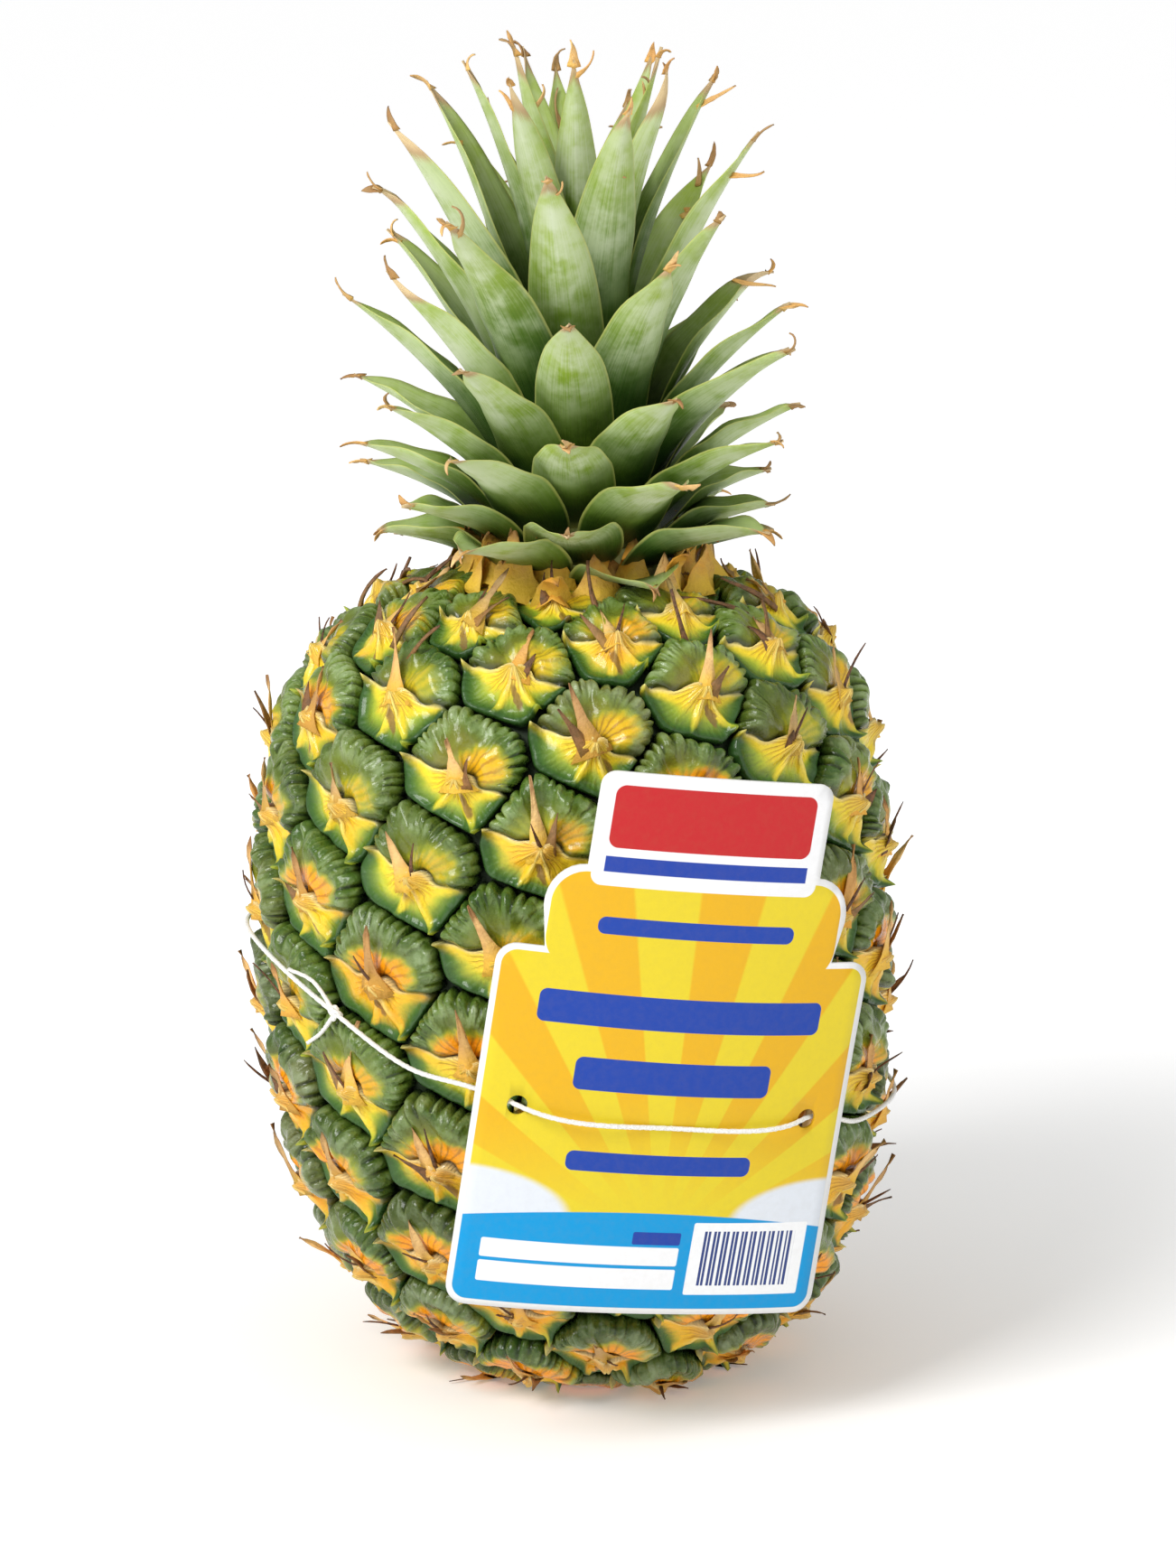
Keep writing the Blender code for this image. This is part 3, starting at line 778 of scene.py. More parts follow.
def putBlade(blades, rows, thickness, dark, tone, start=0.0, span=1.0):
    # Gives a blade its thickness and adds it to the others of its piece
    points, faces, marks = blades
    count, columns = len(rows), len(rows[0])
    middle = columns // 2
    these = []
    for face in (0.5, -0.5):
        for index, row in enumerate(rows):
            side = (row[-1] - row[0]).normalized()
            ahead = rows[min(index + 1, count - 1)][middle] - rows[max(index - 1, 0)][middle]
            shift = side.cross(ahead).normalized() * (thickness * face)
            these += [point + shift * (1.0 if i == middle else 0.7) for i, point in enumerate(row)]
    if touchesCard(these):
        return
    for place in these:
        place.z = max(place.z, 0.0004)
    faces += [tuple(i + len(points) for i in face) for face in sheetFaces(count, columns)]
    points += these
    marks["along"] += [start + span * i / (count - 1) for i in range(count) for _ in range(columns)] * 2
    marks["dark"] += [dark] * len(these)
    marks["tone"] += [tone] * len(these)


def paperFinish():
    f = Finish("paperyBract", 0.62)
    along, dark, tone = f.marks("along", "dark", "tone")
    grain = f.noise(900.0, 3.0, 0.65)
    broad = f.noise(160.0, 2.0, 0.5)
    pale = f.blend(tone, "f0cb8a", "dfa95e")
    pale = f.blend(tone.fall(-0.6, 0.0), pale, f.blend(broad.rise(0.35, 0.65), "e09a28", "f2c550"))
    colour = f.coats(
        f.blend((along + (grain - 0.5) * 0.2).rise(0.15, 0.60), f.blend(tone, "ecc03a", "e6a93c"), pale),
        ((grain * 0.5 + broad).rise(0.62, 0.95) * along.rise(0.2, 0.5) * 0.45, "b57c45"),
        ((along + (broad - 0.5) * 0.4).rise(0.72, 1.0) * 0.7, "7a4a26"),
        (dark, f.blend(grain.rise(0.3, 0.7), "3a2415", "7d5233")),
    )
    return f.finishWith(colour, None, grain, 0.0005, 0.8)


def eyeAxes(azimuth, run):  # a place on the fruit, with the ways up, aside and out from it
    steps = ((0.0, 0.0), (0.001, 0.0), (0.0, 0.001))
    here, above, out = (onFruit(azimuth, run + up, off) for up, off in steps)
    up = Vector(above - here).normalized()
    normal = Vector(out - here).normalized()
    return Vector(here), up, up.cross(normal).normalized(), normal


def swung(angle, up, side, normal):
    turn = Matrix.Rotation(angle, 3, normal)
    return turn @ up, turn @ side, normal


# Papery tips, slivers and spines on the eyes, dry bracts in a ring under the crown, and loose dark sticks
tipSet = {
    "length": 0.0135,
    "width": 0.0045,
    "segments": 8,
    "thickness": 0.00022,
    "lean": (-24, 20),
    "lift": (6, 18),
    "curl": (-28, 30),
    "darkShares": [0.0, 0.0, 0.0, 0.35],
    "sliverShare": 0.62,
    "sliverTurn": (12, 38),
    "sliverWidth": 0.42,  # of the tip's
    "spineShare": 0.6,
    "spineTurn": (-25, 25),
    "spineLift": (20, 55),
    "spineCurl": (-40, 25),
    "spineLength": (8, 13),
    "spineWidth": 0.00045,
    "spineThickness": 0.0003,
    "leastRadius": 0.024,  # no tips further in than this
    "groups": 3,
    "ring": 40,
    "ringRadius": (0.0215, 0.0290),
    "ringLength": (0.010, 0.017),
    "ringWidth": (0.0042, 0.0070),
    "ringSeed": 8,
    "sticks": 18,
    "stickDrop": (0.012, 0.032),
    "stickLength": (0.010, 0.016),
    "stickWidth": 0.0007,
}


def makeTips():
    look = paperFinish()
    t = tipSet
    groups = [newBlades() for _ in range(t["groups"])]
    for eye in eyes:
        rng = random.Random(eye["seed"] + 5)
        if eye["radius"] < t["leastRadius"]:
            continue
        here, up, side, normal = eyeAxes(eye["azimuth"], eye["run"])
        size = eye["size"]
        group = groups[eye["pair"] * t["groups"] // pairs]
        lean = degreesFrom(rng, t["lean"])
        base = here + normal * 0.001 * (2.7 * size) - up * 0.001 * 3.0 * size
        length = t["length"] * rng.uniform(0.85, 1.35) * size
        width = t["width"] * rng.uniform(0.85, 1.15) * size
        lift, curl = degreesFrom(rng, t["lift"]), degreesFrom(rng, t["curl"])
        bends = (lift, curl, rng.uniform(-0.5, 0.5))
        axes = swung(-lean, up, side, normal)
        rows = paperBlade(base, axes, length, width, bends, rng, t["segments"], 3.4)
        putBlade(group, rows, t["thickness"], rng.choice(t["darkShares"]), rng.random())
        if rng.random() < t["sliverShare"]:
            away = rng.choice([-1, 1]) * degreesFrom(rng, t["sliverTurn"])
            axes = swung(-away - lean, up, side, normal)
            start = base + axes[1] * math.copysign(0.0011, away) + up * 0.001
            long = length * rng.uniform(0.45, 0.85)
            bends = (lift + rng.uniform(0.0, 0.3), rng.uniform(-0.6, 0.9), rng.uniform(-1.2, 1.2))
            rows = paperBlade(start, axes, long, width * t["sliverWidth"], bends, rng, 6, 1.2)
            putBlade(group, rows, t["thickness"], rng.uniform(0.7, 1.0), rng.random())
        if rng.random() < t["spineShare"]:
            axes = swung(-degreesFrom(rng, t["spineTurn"]), up, side, normal)
            long = rng.uniform(*t["spineLength"]) * size / 1000
            bends = (degreesFrom(rng, t["spineLift"]), degreesFrom(rng, t["spineCurl"]), rng.uniform(-1, 1))
            rows = paperBlade(base + up * 0.002, axes, long, t["spineWidth"], bends, rng, 6, 0.9)
            putBlade(group, rows, t["spineThickness"], 1.0, rng.random())
    rng = random.Random(t["ringSeed"])
    for i in range(t["ring"]):
        run = wallLength - (rng.uniform(*t["ringRadius"]) - wallRadii[-1]) * 1.05
        here, up, side, normal = eyeAxes(fullTurn * (i + rng.uniform(-0.3, 0.3)) / t["ring"], run)
        axes = swung(rng.uniform(-0.5, 0.5), up, side, normal)
        folded = rng.random() < 0.60
        lift = rng.uniform(0.6, 1.2)
        curl = rng.uniform(1.6, 2.8) if folded else rng.uniform(-0.2, 0.7)
        long, width = rng.uniform(*t["ringLength"]), rng.uniform(*t["ringWidth"])
        rows = paperBlade(here, axes, long, width, (lift, curl, rng.uniform(-0.6, 0.6)), rng, 8, 1.1)
        dark = rng.choice([0.0, 0.0, 0.15, 0.55])
        putBlade(groups[-1], rows, t["spineThickness"], dark, rng.uniform(-1.5, -0.2))
    for i in range(t["sticks"]):
        azimuth = rng.uniform(0, fullTurn)
        here, up, side, normal = eyeAxes(azimuth, wallLength - rng.uniform(*t["stickDrop"]))
        axes = swung(rng.uniform(-1.3, 1.3), up, side, normal)
        long = rng.uniform(*t["stickLength"])
        bends = (rng.uniform(0.15, 0.8), rng.uniform(-0.9, 0.4), rng.uniform(-2, 2))
        rows = paperBlade(here + normal * 0.002, axes, long, t["stickWidth"], bends, rng, 8, 0.7)
        putBlade(groups[-1], rows, t["stickWidth"], rng.uniform(0.85, 1.0), rng.random())
    for i, (points, faces, marks) in enumerate(groups):
        keepPiece(meshPiece(f"tips_{i + 1}", points, faces, look, marks), "rind")
    return look


paperLook = makeTips()
print("stage: papery tips made")

# The leaves follow one rule of turn, lift and length from the bottom to the top
crownSet = {
    "x": -0.004,
    "firstRoot": 0.1664,
    "rootStep": 0.00055,
    "rootRadius": 0.0170,
    "rootTaper": 0.00015,
    "rankTurn": 138.46,
    "firstRank": 24.7,
    "leaves": 54,
    "young": 10,
    "length": 0.025,
    "lengthStep": 0.00035,
    "lengthGrowth": 0.000011,
    "longest": 0.075,
    "lift": 10.0,
    "liftStep": 1.15,
    "arch": 14.0,
    "steepest": 89.0,
    "width": 0.0118,
    "widthStep": 0.00013,
    "upperWidth": 0.0088,
    "youngWidth": 0.0070,
    "youngRoot": 0.1963,
    "youngRootStep": 0.0003,
    "youngSink": 0.0030,
    "thickness": 0.0010,
    "channel": 0.30,
    "gap": 0.0003,
}

# Leaves that stand out from the rule: turn and lift in degrees, and length factor
leafCharacter = {
    1: (0, -5, 0.75),
    4: (0, 3, 1.15),
    6: (0, 2, 1.20),
    7: (0, -4, 0.92),
    11: (0, 0, 0.88),
    12: (0, 0, 0.92),
    14: (0, 2, 1.20),
    15: (0, -6, 1.15),
    16: (0, -4, 0.88),
    17: (0, 2, 1.20),
    19: (0, 0, 1.20),
    20: (0, -3, 0.98),
    23: (0, -5, 1.00),
    28: (0, -9, 1.05),
    32: (0, -7, 1.12),
    33: (0, 2, 1.12),
    37: (0, -2, 0.92),
    42: (0, -4, 0.88),
    43: (0, -5, 1.10),
    45: (0, 3, 0.92),
    48: (-6, -1, 1.00),
    50: (0, 1, 1.00),
    51: (-2, -4, 1.04),
    53: (-9, 0, 1.00),
}

# How some leaves end: dry share of the length, and the tip's curl aside and outwards in degrees
leafEnds = {
    14: (0.08, 12, -20),
    22: (0.07, 0, -10),
    35: (0.05, 6, -12),
    38: (0.12, -60, 30),
    42: (0.15, 50, -40),
    46: (0.08, 20, -20),
    48: (0.06, 0, -14),
    51: (0.10, -30, 10),
    53: (0.05, 6, -8),
    56: (0.10, 8, 0),
    58: (0.12, -16, 20),
}
leafMesh = {
    "segments": 26,
    "halves": 5,
    "seed": 4,
    "blunt": 2.2,
    "widest": 0.30,
    "foot": 0.66,
    "wave": 0.0004,
    "waves": (2.0, 3.4),
    "fold": 0.10,
    "thick": 0.00078,
    "thinning": 0.00035,
    "leastDry": (0.03, 0.035),
}
leafTips = []  # place, heading and azimuth of each


def leafRule(index):
    c = crownSet
    turn, lift, stretch = leafCharacter.get(index + 1, (0, 0, 1.0))
    length = min(c["length"] + c["lengthStep"] * index + c["lengthGrowth"] * index**2, c["longest"])
    rule = {
        "azimuth": math.radians(c["firstRank"] - c["rankTurn"] * index + turn),
        "rootRadius": c["rootRadius"] - c["rootTaper"] * index + c["gap"] + c["thickness"] / 2,
        "rootHeight": c["firstRoot"] + c["rootStep"] * index,
        "length": length * stretch,
        "lift": min(c["lift"] + c["liftStep"] * index + lift, c["steepest"] - 3.0),
        "halfWidth": max(c["width"] - c["widthStep"] * index, c["upperWidth"]),
    }
    if index >= c["leaves"]:
        rule["rootRadius"] -= c["youngSink"]
        rule["rootHeight"] = c["youngRoot"] + c["youngRootStep"] * (index - c["leaves"])
        rule["halfWidth"] = c["youngWidth"]
    return rule


def leafWidth(along):
    widest, foot = leafMesh["widest"], leafMesh["foot"]
    narrowed = foot + (1 - foot) * math.sin(math.pi / 2 * min(along / widest, 1.0))
    return narrowed * (1.0 - max((along - widest) / (1 - widest), 0.0) ** leafMesh["blunt"]) ** 1.1


def leafPiece(index, look):
    seed = index * 7 + leafMesh["seed"]
    rng = random.Random(seed)
    c, m, rule = crownSet, leafMesh, leafRule(index)
    least, play = m["leastDry"]
    plain = (least + play * random.Random(index + 90).random(), 0, 0)
    dry, sideCurl, outCurl = leafEnds.get(index + 1, plain)
    segments, halves = m["segments"], m["halves"]
    columns = 2 * halves + 1
    arch = min(c["arch"], c["steepest"] - rule["lift"])
    radius, height = rule["rootRadius"], rule["rootHeight"]
    step = rule["length"] / segments
    wavePhase, waveCount = rng.uniform(0, 6), rng.uniform(*m["waves"])
    top, under, uv = [], [], []
    sway = 0.0
    for row in range(segments + 1):
        along = row / segments
        late = float(smoothStep(1.0 - max(dry, 0.10) * 1.6, 1.0, along))
        slope = math.radians(rule["lift"] + arch * (1.0 - 2.0 * along)) + math.radians(outCurl) * late
        width = rule["halfWidth"] * leafWidth(min(along, 0.995)) * (1.0 - 0.25 * late)
        channel = c["channel"] * width * smoothStep(0.05, 0.5, along)
        fold = m["fold"] * width * smoothStep(0.2, 0.7, along)
        thick = (m["thick"] - m["thinning"] * along) / 2
        for column in range(columns):
            share = column / halves - 1.0
            waving = math.sin(waveCount * 6.28 * along + wavePhase + 1.4 * (share > 0))
            waving *= m["wave"] * share**2
            rise = channel * share**2 + fold * (abs(share) - 0.5) + waving * smoothStep(0.25, 0.6, along)
            rise += late * 0.35 * width * share**2
            turn = rule["azimuth"] + (share * width + sway) / max(radius, 0.010)
            for side, put in ((1, top), (-1, under)):
                lift = rise + side * thick * (1.0 - 0.85 * share**2)
                reach = radius - lift * math.sin(slope)
                aside, ahead = c["x"] + reach * math.sin(turn), -reach * math.cos(turn)
                put.append((aside, ahead, height + lift * math.cos(slope)))
            uv.append((0.5 + 0.5 * share, along))
        middle = math.radians(rule["lift"] + arch * (1.0 - 2.0 * (row + 0.5) / segments))
        middle += math.radians(outCurl) * late
        sway += step * math.sin(math.radians(sideCurl)) * late
        radius += step * math.cos(middle)
        height += step * math.sin(middle)
    points = top + under
    tip = Vector(top[-1 - halves])
    leafTips.append((tip, (tip - Vector(top[-1 - halves - columns])).normalized(), rule["azimuth"]))
    marks = {"dry": [dry] * len(points), "tone": [rng.random()] * len(points)}
    marks["outer"] = [0.0] * len(top) + [1.0] * len(top)
    faces = sheetFaces(segments + 1, columns)
    return meshPiece(f"blade_{index + 1:02d}", points, faces, look, marks, uv + uv)


def leafFinish():
    f = Finish("crownLeaf", 0.42, IOR=1.42)
    flat = f.add("UVMap", {"uv_map": "flat"})
    split, along = f.parts(flat)
    edge = (split * 2.0 - 1.0).size()
    tone, dry, outer = f.marks("tone", "dry", "outer")
    broad = f.noise(55.0, 2.0, 0.5)
    patchy = f.noise(230.0, 3.0, 0.55)
    streak = f.noise(1.0, 3.0, 0.6, flat, (46.0, 2.2, 1.0))
    fine = f.noise(1.0, 2.0, 0.6, flat, (150.0, 5.0, 1.0))
    bloom = (patchy * 0.5 + streak * 0.3 + broad * 0.4).rise(0.42, 0.72)
    bloom = bloom * (1.0 - edge * 0.5) * along.rise(0.25, 0.65)
    # Darker towards the leaf base: partly the leaf's darker green, partly painted shade
    darkBaseAndShade = (along + (patchy - 0.5) * 0.2 + (broad - 0.5) * 0.3).fall(0.14, 0.68)
    green = f.coats(
        f.blend((broad * 0.7 + tone * 0.5).rise(0.25, 0.95), "4a761b", "8aac2e"),
        (along.rise(0.35, 0.95) * 0.60, "b4c84a"),
        (streak.rise(0.35, 0.75) * 0.30, "a8ba5c"),
        (fine.rise(0.5, 0.8) * 0.20, "38561c"),
        (bloom * (0.40 + tone * 0.16 + outer * 0.30), "d9e2c6"),
        (darkBaseAndShade * 0.95, "1b3812"),
        (edge.rise(0.93, 0.99) * 0.6, "c3c46a"),
        (along.fall(0.0, 0.07) * 0.8, "b9bd72"),
    )
    end = 1.0 - dry * (0.85 + broad * 0.4) + (streak - 0.5) * 0.09 - edge * 0.03
    past = along - end
    dried = past.rise(-0.02, 0.025)
    tan = f.blend(streak.rise(0.3, 0.7), "c9a877", "e2cfa2")
    tan = f.blend(past.rise(-0.03, 0.01) * past.fall(0.01, 0.06) * 0.5, tan, "8b5e3c")
    rough = 0.36 + bloom * 0.22 + dried * 0.25
    return f.finishWith(f.blend(dried, green, tan), rough, streak * 0.7 + fine * 0.5, 0.0005, 0.5)


def makeCrown():
    look = leafFinish()
    f = Finish("crownStem", 0.6)
    mottle = f.noise(300.0, 3.0, 0.6)
    stemLook = f.finishWith(f.blend(mottle.rise(0.3, 0.7), "8f9a4a", "c4c07a"), None, mottle, 0.0008, 0.6)
    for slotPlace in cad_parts["crown_stem"].material_slots:
        slotPlace.material = stemLook
    leaves = crownSet["leaves"]
    for index in range(leaves + crownSet["young"]):
        nodes = [f"leaf_{index + 1:02d}"] if index < leaves else []
        if index == leaves:
            nodes = ["crown_heart"]
        keepPiece(leafPiece(index, look), "leaf", *nodes)


makeCrown()

# Dried, curled ends on the leaves and some loose strands among the youngest
hookSet = {
    "seed": 21,
    "length": (0.0024, 0.0062),
    "width": (0.0008, 0.0015),
    "overlap": 0.0022,
    "strands": 22,
    "firstStranded": 40,
    "strandLength": (0.004, 0.010),
    "strandWidth": 0.0006,
}


def makeHooks():
    h = hookSet
    rng = random.Random(h["seed"])
    blades = newBlades()

    def axesAt(heading, azimuth):
        side = Vector((math.cos(azimuth), math.sin(azimuth), 0.0))
        return heading, side, side.cross(heading).normalized()

    for number, (tip, heading, azimuth) in enumerate(leafTips):
        axes = axesAt(heading, azimuth)
        for _ in range(1 if number % 3 else 2):
            width = rng.uniform(*h["width"])
            curl = rng.choice([-1, 1]) * rng.uniform(0.4, 2.2)
            long = rng.uniform(*h["length"])
            bends = (0.0, curl, rng.uniform(-1.8, 1.8))
            rows = paperBlade(tip - heading * h["overlap"], axes, long, width, bends, rng, 8, 1.0)
            putBlade(blades, rows, 0.00035, rng.choice([0.0, 0.25, 0.6]), rng.random(), 0.35, 0.4)
    for _ in range(h["strands"]):
        tip, heading, azimuth = leafTips[rng.randrange(h["firstStranded"], len(leafTips))]
        start = tip - heading * rng.uniform(0.004, 0.02)
        axes = swung(rng.uniform(-0.9, 0.9), *axesAt(heading, azimuth))
        long = rng.uniform(*h["strandLength"])
        bends = (rng.uniform(-0.2, 0.5), rng.uniform(-2.5, 2.5), 2.0)
        rows = paperBlade(start, axes, long, h["strandWidth"], bends, rng, 10, 0.8)
        putBlade(blades, rows, 0.0004, rng.choice([0.0, 0.5]), rng.random(), 0.35, 0.4)
    points, faces, marks = blades
    keepPiece(meshPiece("dry_ends", points, faces, paperLook, marks), "leaf")


makeHooks()
print("stage: crown made")


def quarter(centre, radius, start, steps=6):
    turns = [math.radians(start + 90 * i / steps) for i in range(steps + 1)]
    return [(centre[0] + radius * math.cos(a), centre[1] + radius * math.sin(a)) for a in turns]


def tagOutline():
    t = tagSet
    half, low, high = t["panelWidth"] / 2, -t["panelHeight"] / 2, t["panelHeight"] / 2
    corner, inset = t["panelCorner"], t["plateCorner"]
    plate, top = t["plateWidth"] / 2, high + t["plateHeight"]
    right = quarter((half - corner, low + corner), corner, -90)
    right += quarter((half - corner, high - corner), corner, 0)
    right.append((t["neckWidth"] / 2, high))
    for i in range(1, 11):
        angle = math.radians(-30 + 12 * i)
        bulge = (t["shoulderWidth"] / 2 - plate) * math.cos(angle)
        right.append((plate + bulge, high + t["shoulderHeight"] * (0.5 + 0.45 * math.sin(angle))))
    right += quarter((plate - inset, top - inset), inset, 0)
    return right + [(-x, z) for x, z in reversed(right)]


# The card's print in millimetres, across and up: left, right, bottom, top and corner of each plain box
printSet = {
    "mapSize": (100.0, 150.0),
    "mapStart": -50.0,
    "yellow": ((-37.3, 37.3, -35.6, 35.6, 3.0), (-29.7, 29.7, 33.0, 52.6, 6.5)),
    "band": (-37.3, 37.3, -35.6, 30.0, 3.0),
    "foot": (
        ((-33.0, 7.0, -26.6, -22.8, 0.4), "ebebec"),
        ((-33.0, 7.0, -31.6, -27.4, 0.4), "ebebec"),
        ((-3.0, 7.0, -22.2, -19.6, 0.4), "1c3f9c"),
        ((9.5, 34.5, -32.6, -17.4, 0.4), "ecedee"),
    ),
    "code": (12.0, 32.0, -30.6, -19.2, 0.0),
    "upper": (
        ((-23.0, 23.0, 50.2, 72.2, 2.2), "e8e8e9"),
        ((-20.6, 20.6, 57.8, 70.2, 2.0), "bb2226"),
        ((-20.6, 20.6, 53.0, 56.0, 0.0), "1d3f9e"),
        ((-20.0, 20.0, 40.6, 44.0, 1.5), "1a409f"),  # plain bars where words would stand
        ((-29.0, 29.0, 22.0, 28.6, 1.5), "1a409f"),
        ((-20.0, 20.0, 9.0, 15.6, 1.5), "1a409f"),
        ((-19.0, 19.0, -7.5, -3.5, 1.5), "1a409f"),
    ),
}


def printedFinish():
    f = Finish("printedCard", 0.34, Specular_IOR_Level=0.22)
    axes = zip(f.parts(f.add("UVMap", {"uv_map": "flat"})), printSet["mapSize"])
    across, up = (part * size + printSet["mapStart"] for part, size in axes)

    def box(left, right, low, high, corner):  # 1 inside a rounded box
        halfWide, halfHigh = (right - left) / 2 - corner, (high - low) / 2 - corner
        sideways = ((across - (left + right) / 2).size() - halfWide).most(0.0)
        upwards = ((up - (low + high) / 2).size() - halfHigh).most(0.0)
        away = (sideways * sideways + upwards * upwards) ** 0.5
        return away.fall(corner - 0.04, corner + 0.10) if corner else away.fall(0.0, 0.12)

    lower, shoulder = (box(*place) for place in printSet["yellow"])
    field = lower.most(shoulder)
    turn = f.bearing(across - 2.0, up + 22.0)
    ray = (turn * 17.0 + 0.6).sine().rise(-0.10, 0.10) * (up + across.size() * 0.3).rise(-16.0, 18.0)
    colour = f.blend(field, "e7e7e6", f.blend(ray * 0.8, "dcc62a", "dea214"))
    for side in (-1, 1):  # the corners above the band fade to white
        away = ((across - side * 38.0) / 22.0) ** 2.0 + ((up + 18.0) / 10.0) ** 2.0
        colour = f.blend(field * away.fall(0.8, 1.05), colour, "d8dde4")
    crest = up + 15.6 + (across * 0.042) * (across * 0.042) * 1.2
    colour = f.blend(box(*printSet["band"]) * crest.fall(-0.1, 0.1), colour, "0092cf")
    colour = f.coats(colour, *((box(*place), code) for place, code in printSet["foot"]))
    bars = ((across * 6.3).sine() + (across * 3.1).sine() * 0.8).rise(-0.1, 0.1)
    colour = f.blend(box(*printSet["code"]) * bars, colour, "30427c")
    colour = f.coats(colour, *((box(*place), code) for place, code in printSet["upper"]))
    fibre = f.noise(700.0, 3.0, 0.6)
    colour = f.blend(fibre.rise(0.3, 0.8) * 0.06, colour, "8a7a50")
    return f.finishWith(colour, 0.34 + fibre * 0.12, fibre, 0.0002, 0.25)


def makeTag():
    t = tagSet
    f = Finish("cardBack", 0.6)
    fibre = f.noise(800.0, 3.0, 0.6)
    backLook = f.finishWith(f.blend(fibre, "efece4", "f8f7f3"), None, fibre, 0.0002, 0.3)
    curve = bpy.data.curves.new("card", "CURVE")
    curve.dimensions = "2D"
    curve.fill_mode = "BOTH"
    curve.extrude = t["thickness"] / 2
    turns = [fullTurn * i / 24 for i in range(24)]
    loops = [tagOutline()]
    for x in (-t["holeX"], t["holeX"]):
        ring = [(t["holeRadius"] * math.cos(a), t["holeRadius"] * math.sin(a)) for a in turns]
        loops.append([(x + across, t["holeZ"] + up) for across, up in ring])
    for loop in loops:
        spline = curve.splines.new("POLY")
        spline.points.add(len(loop) - 1)
        for point, (x, z) in zip(spline.points, loop):
            point.co = (x, z, 0.0, 1.0)
        spline.use_cyclic_u = True
    flatCard = linkedPiece("card_outline", curve)
    mesh = bpy.data.meshes.new_from_object(flatCard)
    bpy.data.objects.remove(flatCard, do_unlink=True)
    card = bmesh.new()
    card.from_mesh(mesh)
    bmesh.ops.remove_doubles(card, verts=card.verts, dist=1e-6)
    bmesh.ops.dissolve_limit(card, angle_limit=0.001, verts=card.verts, edges=card.edges)
    cuts = [((i * t["panelWidth"] / 24, 0.0, 0.0), (1, 0, 0)) for i in range(-11, 12)]
    cuts += [((0.0, i * t["rowHeight"] + 0.0007, 0.0), (0, 1, 0)) for i in range(-8, 17)]
    for place, way in cuts:
        everything = card.verts[:] + card.edges[:] + card.faces[:]
        bmesh.ops.bisect_plane(card, geom=everything, dist=1e-7, plane_co=place, plane_no=way)
    bmesh.ops.triangulate(card, faces=[face for face in card.faces if len(face.verts) > 4])
    layer = card.loops.layers.uv.new("flat")
    for face in card.faces:
        face.material_index = 0 if face.normal.z > 0.5 else 1
        face.smooth = abs(face.normal.z) > 0.5
        for loop in face.loops:
            places = zip(loop.vert.co, printSet["mapSize"])
            loop[layer].uv = [(place * 1000 - printSet["mapStart"]) / size for place, size in places]
    for vert in card.verts:
        x, up, out = vert.co
        vert.co = onTag(x, up, out + t["wave"] * math.sin(x * 70 + 1.0) * math.sin(up * 55 + 0.6))
    if card.calc_volume(signed=True) < 0:
        bmesh.ops.reverse_faces(card, faces=card.faces)
    card.to_mesh(mesh)
    card.free()
    mesh.materials.clear()
    mesh.materials.append(printedFinish())
    mesh.materials.append(backLook)
    keepPiece(linkedPiece("card", mesh), "card", "tag")


makeTag()
print("stage: tag made")

stringSet = {
    "radius": 0.0005,
    "clearance": 0.0021,
    "dome": 0.0026,
    "sides": 12,
    "step": 0.0007,
    "strandDepth": 0.28,
    "twistLength": 0.0034,
    "behind": 0.0018,
    "passage": {-1: (0.0012, 0.0004), 1: (-0.0016, -0.0004)},  # heights behind the card, from the holes
    "passageReach": (0.0085, 0.0024, -0.0026),  # far behind, just behind and on the face, out from the holes
    "sag": (0.0005, 0.0020),  # on the face, beside the holes and midway
    "route": (
        (58, 60),
        (75, 59),
        (100, 57),
        (130, 60),
        (160, 65),
        (190, 74),
        (220, 83),
        (250, 90),
        (275, 94),
        (295, 93),
        (316, 86),
        (331, 78),
    ),
    "knotAt": (316, 86),
    "knotWay": ((331, 78), (295, 93)),
    "knotSize": 0.00042,
    "knotDepth": 0.00052,
    "knotSteps": 60,
    "tails": (((311, 91), (303, 92)), ((312, 81), (308, 78))),
}


def onBarrel(azimuth, millimetres):  # where the string lies at an azimuth in degrees and a height
    height = millimetres / 1000
    radius = float(barrelRadius(height)) + stringSet["dome"] + stringSet["radius"] + stringSet["clearance"]
    turn = math.radians(azimuth)
    return Vector((barrelAxis(height) + radius * math.sin(turn), -radius * math.cos(turn), height))


def stringRoute():
    s, t = stringSet, tagSet
    over = t["thickness"] / 2 + s["radius"] + 0.0003
    points = []
    for side in (-1, 1):
        far, near = s["passage"][side]
        reach = [side * (t["holeX"] + out) for out in s["passageReach"]]
        passage = [
            onTag(reach[0], t["holeZ"] + far, -2 * s["behind"]),
            onTag(reach[1], t["holeZ"] + near, -s["behind"]),
            onTag(side * t["holeX"], t["holeZ"], 0.0),
            onTag(reach[2], t["holeZ"] - s["sag"][0], over),
        ]
        points += passage if side < 0 else [onTag(0.0, t["holeZ"] - s["sag"][1], over)] + passage[::-1]
    return points + [onBarrel(*place) for place in s["route"]]


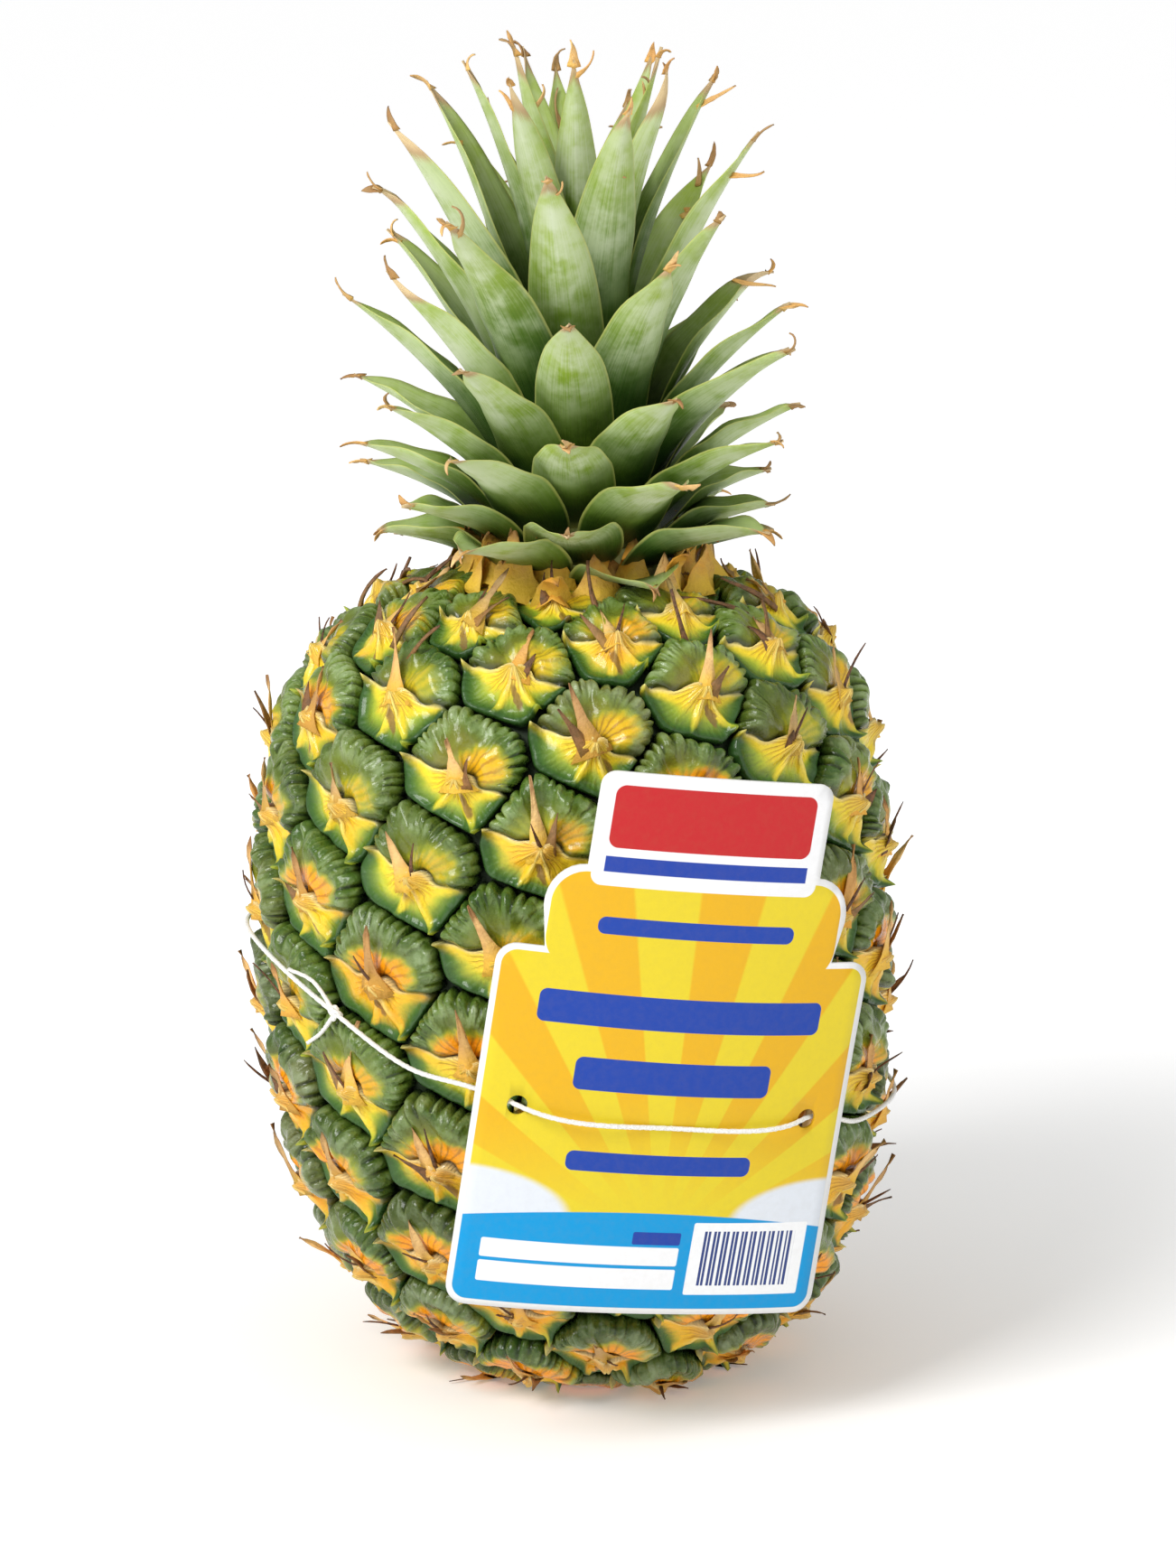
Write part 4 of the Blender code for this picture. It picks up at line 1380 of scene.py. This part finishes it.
def smoothLine(points, steps=None, closed=False):
    count = len(points)
    spans = [(points[(i + 1) % count] - points[i]).length for i in range(count)]
    pulls = []
    for i in range(count):
        if not closed and i in (0, count - 1):
            first = min(i, count - 2)
            pulls.append((points[first + 1] - points[first]) / spans[first])
            continue
        before, after = spans[i - 1], spans[i]
        ahead = (points[(i + 1) % count] - points[i]) / after
        behind = (points[i] - points[i - 1]) / before
        pulls.append((ahead * before + behind * after) / (before + after))
    line = []
    for i in range(count if closed else count - 1):
        start, end = points[i], points[(i + 1) % count]
        leave, arrive = pulls[i] * spans[i], pulls[(i + 1) % count] * spans[i]
        stretch = steps or max(2, int(spans[i] / stringSet["step"]))
        for step in range(stretch):
            t = step / stretch
            place = start * (2 * t**3 - 3 * t**2 + 1) + end * (3 * t**2 - 2 * t**3)
            line.append(place + leave * (t**3 - 2 * t**2 + t) + arrive * (t**3 - t**2))
    return line if closed else line + [points[-1]]


def twistedCord(name, line, radius, look, closed=False, taper=0.0):
    # Three strands laid round each other: a three-lobed section that turns along the line
    sides = stringSet["sides"]
    count = len(line)
    points, run = [], 0.0
    length = sum((line[(i + 1) % count] - line[i]).length for i in range(count if closed else count - 1))
    turns = length / stringSet["twistLength"]
    if closed:
        turns = round(turns)
    for i, place in enumerate(line):
        before = line[i - 1] if closed or i else line[0]
        after = line[(i + 1) % count] if closed or i < count - 1 else line[-1]
        heading = (after - before).normalized()
        side = heading.cross(Vector((0.0, 0.0, 1.0)))
        if side.length < 0.05:
            side = heading.cross(Vector((0.0, 1.0, 0.0)))
        side.normalize()
        other = heading.cross(side).normalized()
        thin = radius * (1.0 - taper * (i / max(count - 1, 1)))
        for k in range(sides):
            angle = fullTurn * k / sides
            phase = 3 * (angle - fullTurn * turns * run / length)
            reach = thin * (1.0 - stringSet["strandDepth"] * (0.5 - 0.5 * math.cos(phase)))
            points.append(place + side * (reach * math.cos(angle)) + other * (reach * math.sin(angle)))
        run += (line[(i + 1) % count] - place).length
    piece = meshPiece(name, points, tubeFaces(count, sides, closed), look)
    keepPiece(piece, "string")
    return piece, length


def knotLine():
    s = stringSet
    centre = onBarrel(*s["knotAt"])
    normal = (centre - Vector((barrelAxis(centre.z), 0.0, centre.z))).normalized()
    after, before = (onBarrel(*place) for place in s["knotWay"])
    heading = (after - before).normalized()
    side = normal.cross(heading).normalized()
    line = []
    for i in range(s["knotSteps"]):
        a = fullTurn * i / s["knotSteps"]
        x = s["knotSize"] * (math.sin(a) + 2 * math.sin(2 * a))
        y = s["knotSize"] * (math.cos(a) - 2 * math.cos(2 * a))
        line.append(centre + heading * x * 1.15 + side * y - normal * s["knotDepth"] * math.sin(3 * a))
    return line


def makeString():
    s = stringSet
    f = Finish("cotton", 0.85, Sheen_Weight=0.3)
    fuzz = f.noise(2600.0, 2.0, 0.6)
    look = f.finishWith(f.blend(fuzz.rise(0.3, 0.7), "d9d7cf", "f5f4f0"), None, fuzz, 0.0002, 0.5)
    line = smoothLine(stringRoute(), closed=True)
    loop, length = twistedCord("string_loop", line, s["radius"] * 1.08, look, True)
    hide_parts("tag_string")
    twistedCord("string_knot", knotLine(), s["radius"] * 0.95, look, True)
    tails = 0.0
    for i, tail in enumerate(s["tails"]):
        line = smoothLine([onBarrel(*place) for place in (s["knotAt"], *tail)], 12)
        tails += twistedCord(f"string_tail_{i + 1}", line, s["radius"], look, taper=0.15)[1]
    print(f"string: loop {length * 1000:.0f} mm, tails {tails * 1000:.0f} mm")


makeString()
print("stage: string made")

stageSet = {
    "floor": "fbfbfb",
    # near: the floor's glow colour next to the fruit, grey as a painted shadow round its foot
    "near": "a0a0a0",
    "lift": 0.45,
    "glow": 0.56,
    "key": ((-0.75, -0.85, 1.05), 16.0, 0.6),  # place, power and size
    "fill": ((1.0, -0.9, 0.5), 2.2, 1.0),
    "target": (0.0, 0.0, 0.12),
}


def softLight(name):
    place, energy, size = stageSet[name]
    bpy.ops.object.light_add(type="AREA", location=place)
    lamp = bpy.context.object
    lamp.name = name
    lamp.data.energy = energy
    lamp.data.size = size
    lamp.rotation_euler = (Vector(stageSet["target"]) - Vector(place)).to_track_quat("-Z", "Y").to_euler()


def makeStage():
    bpy.ops.object.select_all(action="DESELECT")
    bpy.ops.mesh.primitive_plane_add(size=60.0, location=(0.0, 0.0, -0.0002))
    floor = bpy.context.object
    floor.name = "floor"
    f = Finish("paleFloor", 0.9)
    tooth = f.noise(40.0, 2.0, 0.5)
    across, back = f.parts(f.place())
    away = (across * across + back * back) ** 0.5
    # The floor glows less near the fruit: a painted shadow round its foot
    f.plug(f.sockets["Emission Color"], f.blend(away.rise(0.06, 0.50), stageSet["near"], "ffffff"))
    f.sockets["Emission Strength"].default_value = stageSet["lift"]
    floor.data.materials.append(f.finishWith(f.blend(tooth * 0.3, stageSet["floor"], "ffffff")))
    world = bpy.data.worlds.new("studio")
    bpy.context.scene.world = world
    world.use_nodes = True
    tree = world.node_tree
    backdrop = tree.nodes["Background"]
    backdrop.inputs["Color"].default_value = (1.0, 1.0, 1.0, 1.0)
    # The backdrop shows white, and lights the object a little less
    path = tree.nodes.new("ShaderNodeLightPath")
    level = tree.nodes.new("ShaderNodeMapRange")
    level.inputs[3].default_value = stageSet["glow"]
    level.inputs[4].default_value = 1.0
    tree.links.new(path.outputs["Is Camera Ray"], level.inputs[0])
    tree.links.new(level.outputs[0], backdrop.inputs["Strength"])
    softLight("key")
    softLight("fill")
    bpy.context.scene.view_settings.view_transform = "Standard"


makeStage()
print("stage: lights and floor set")
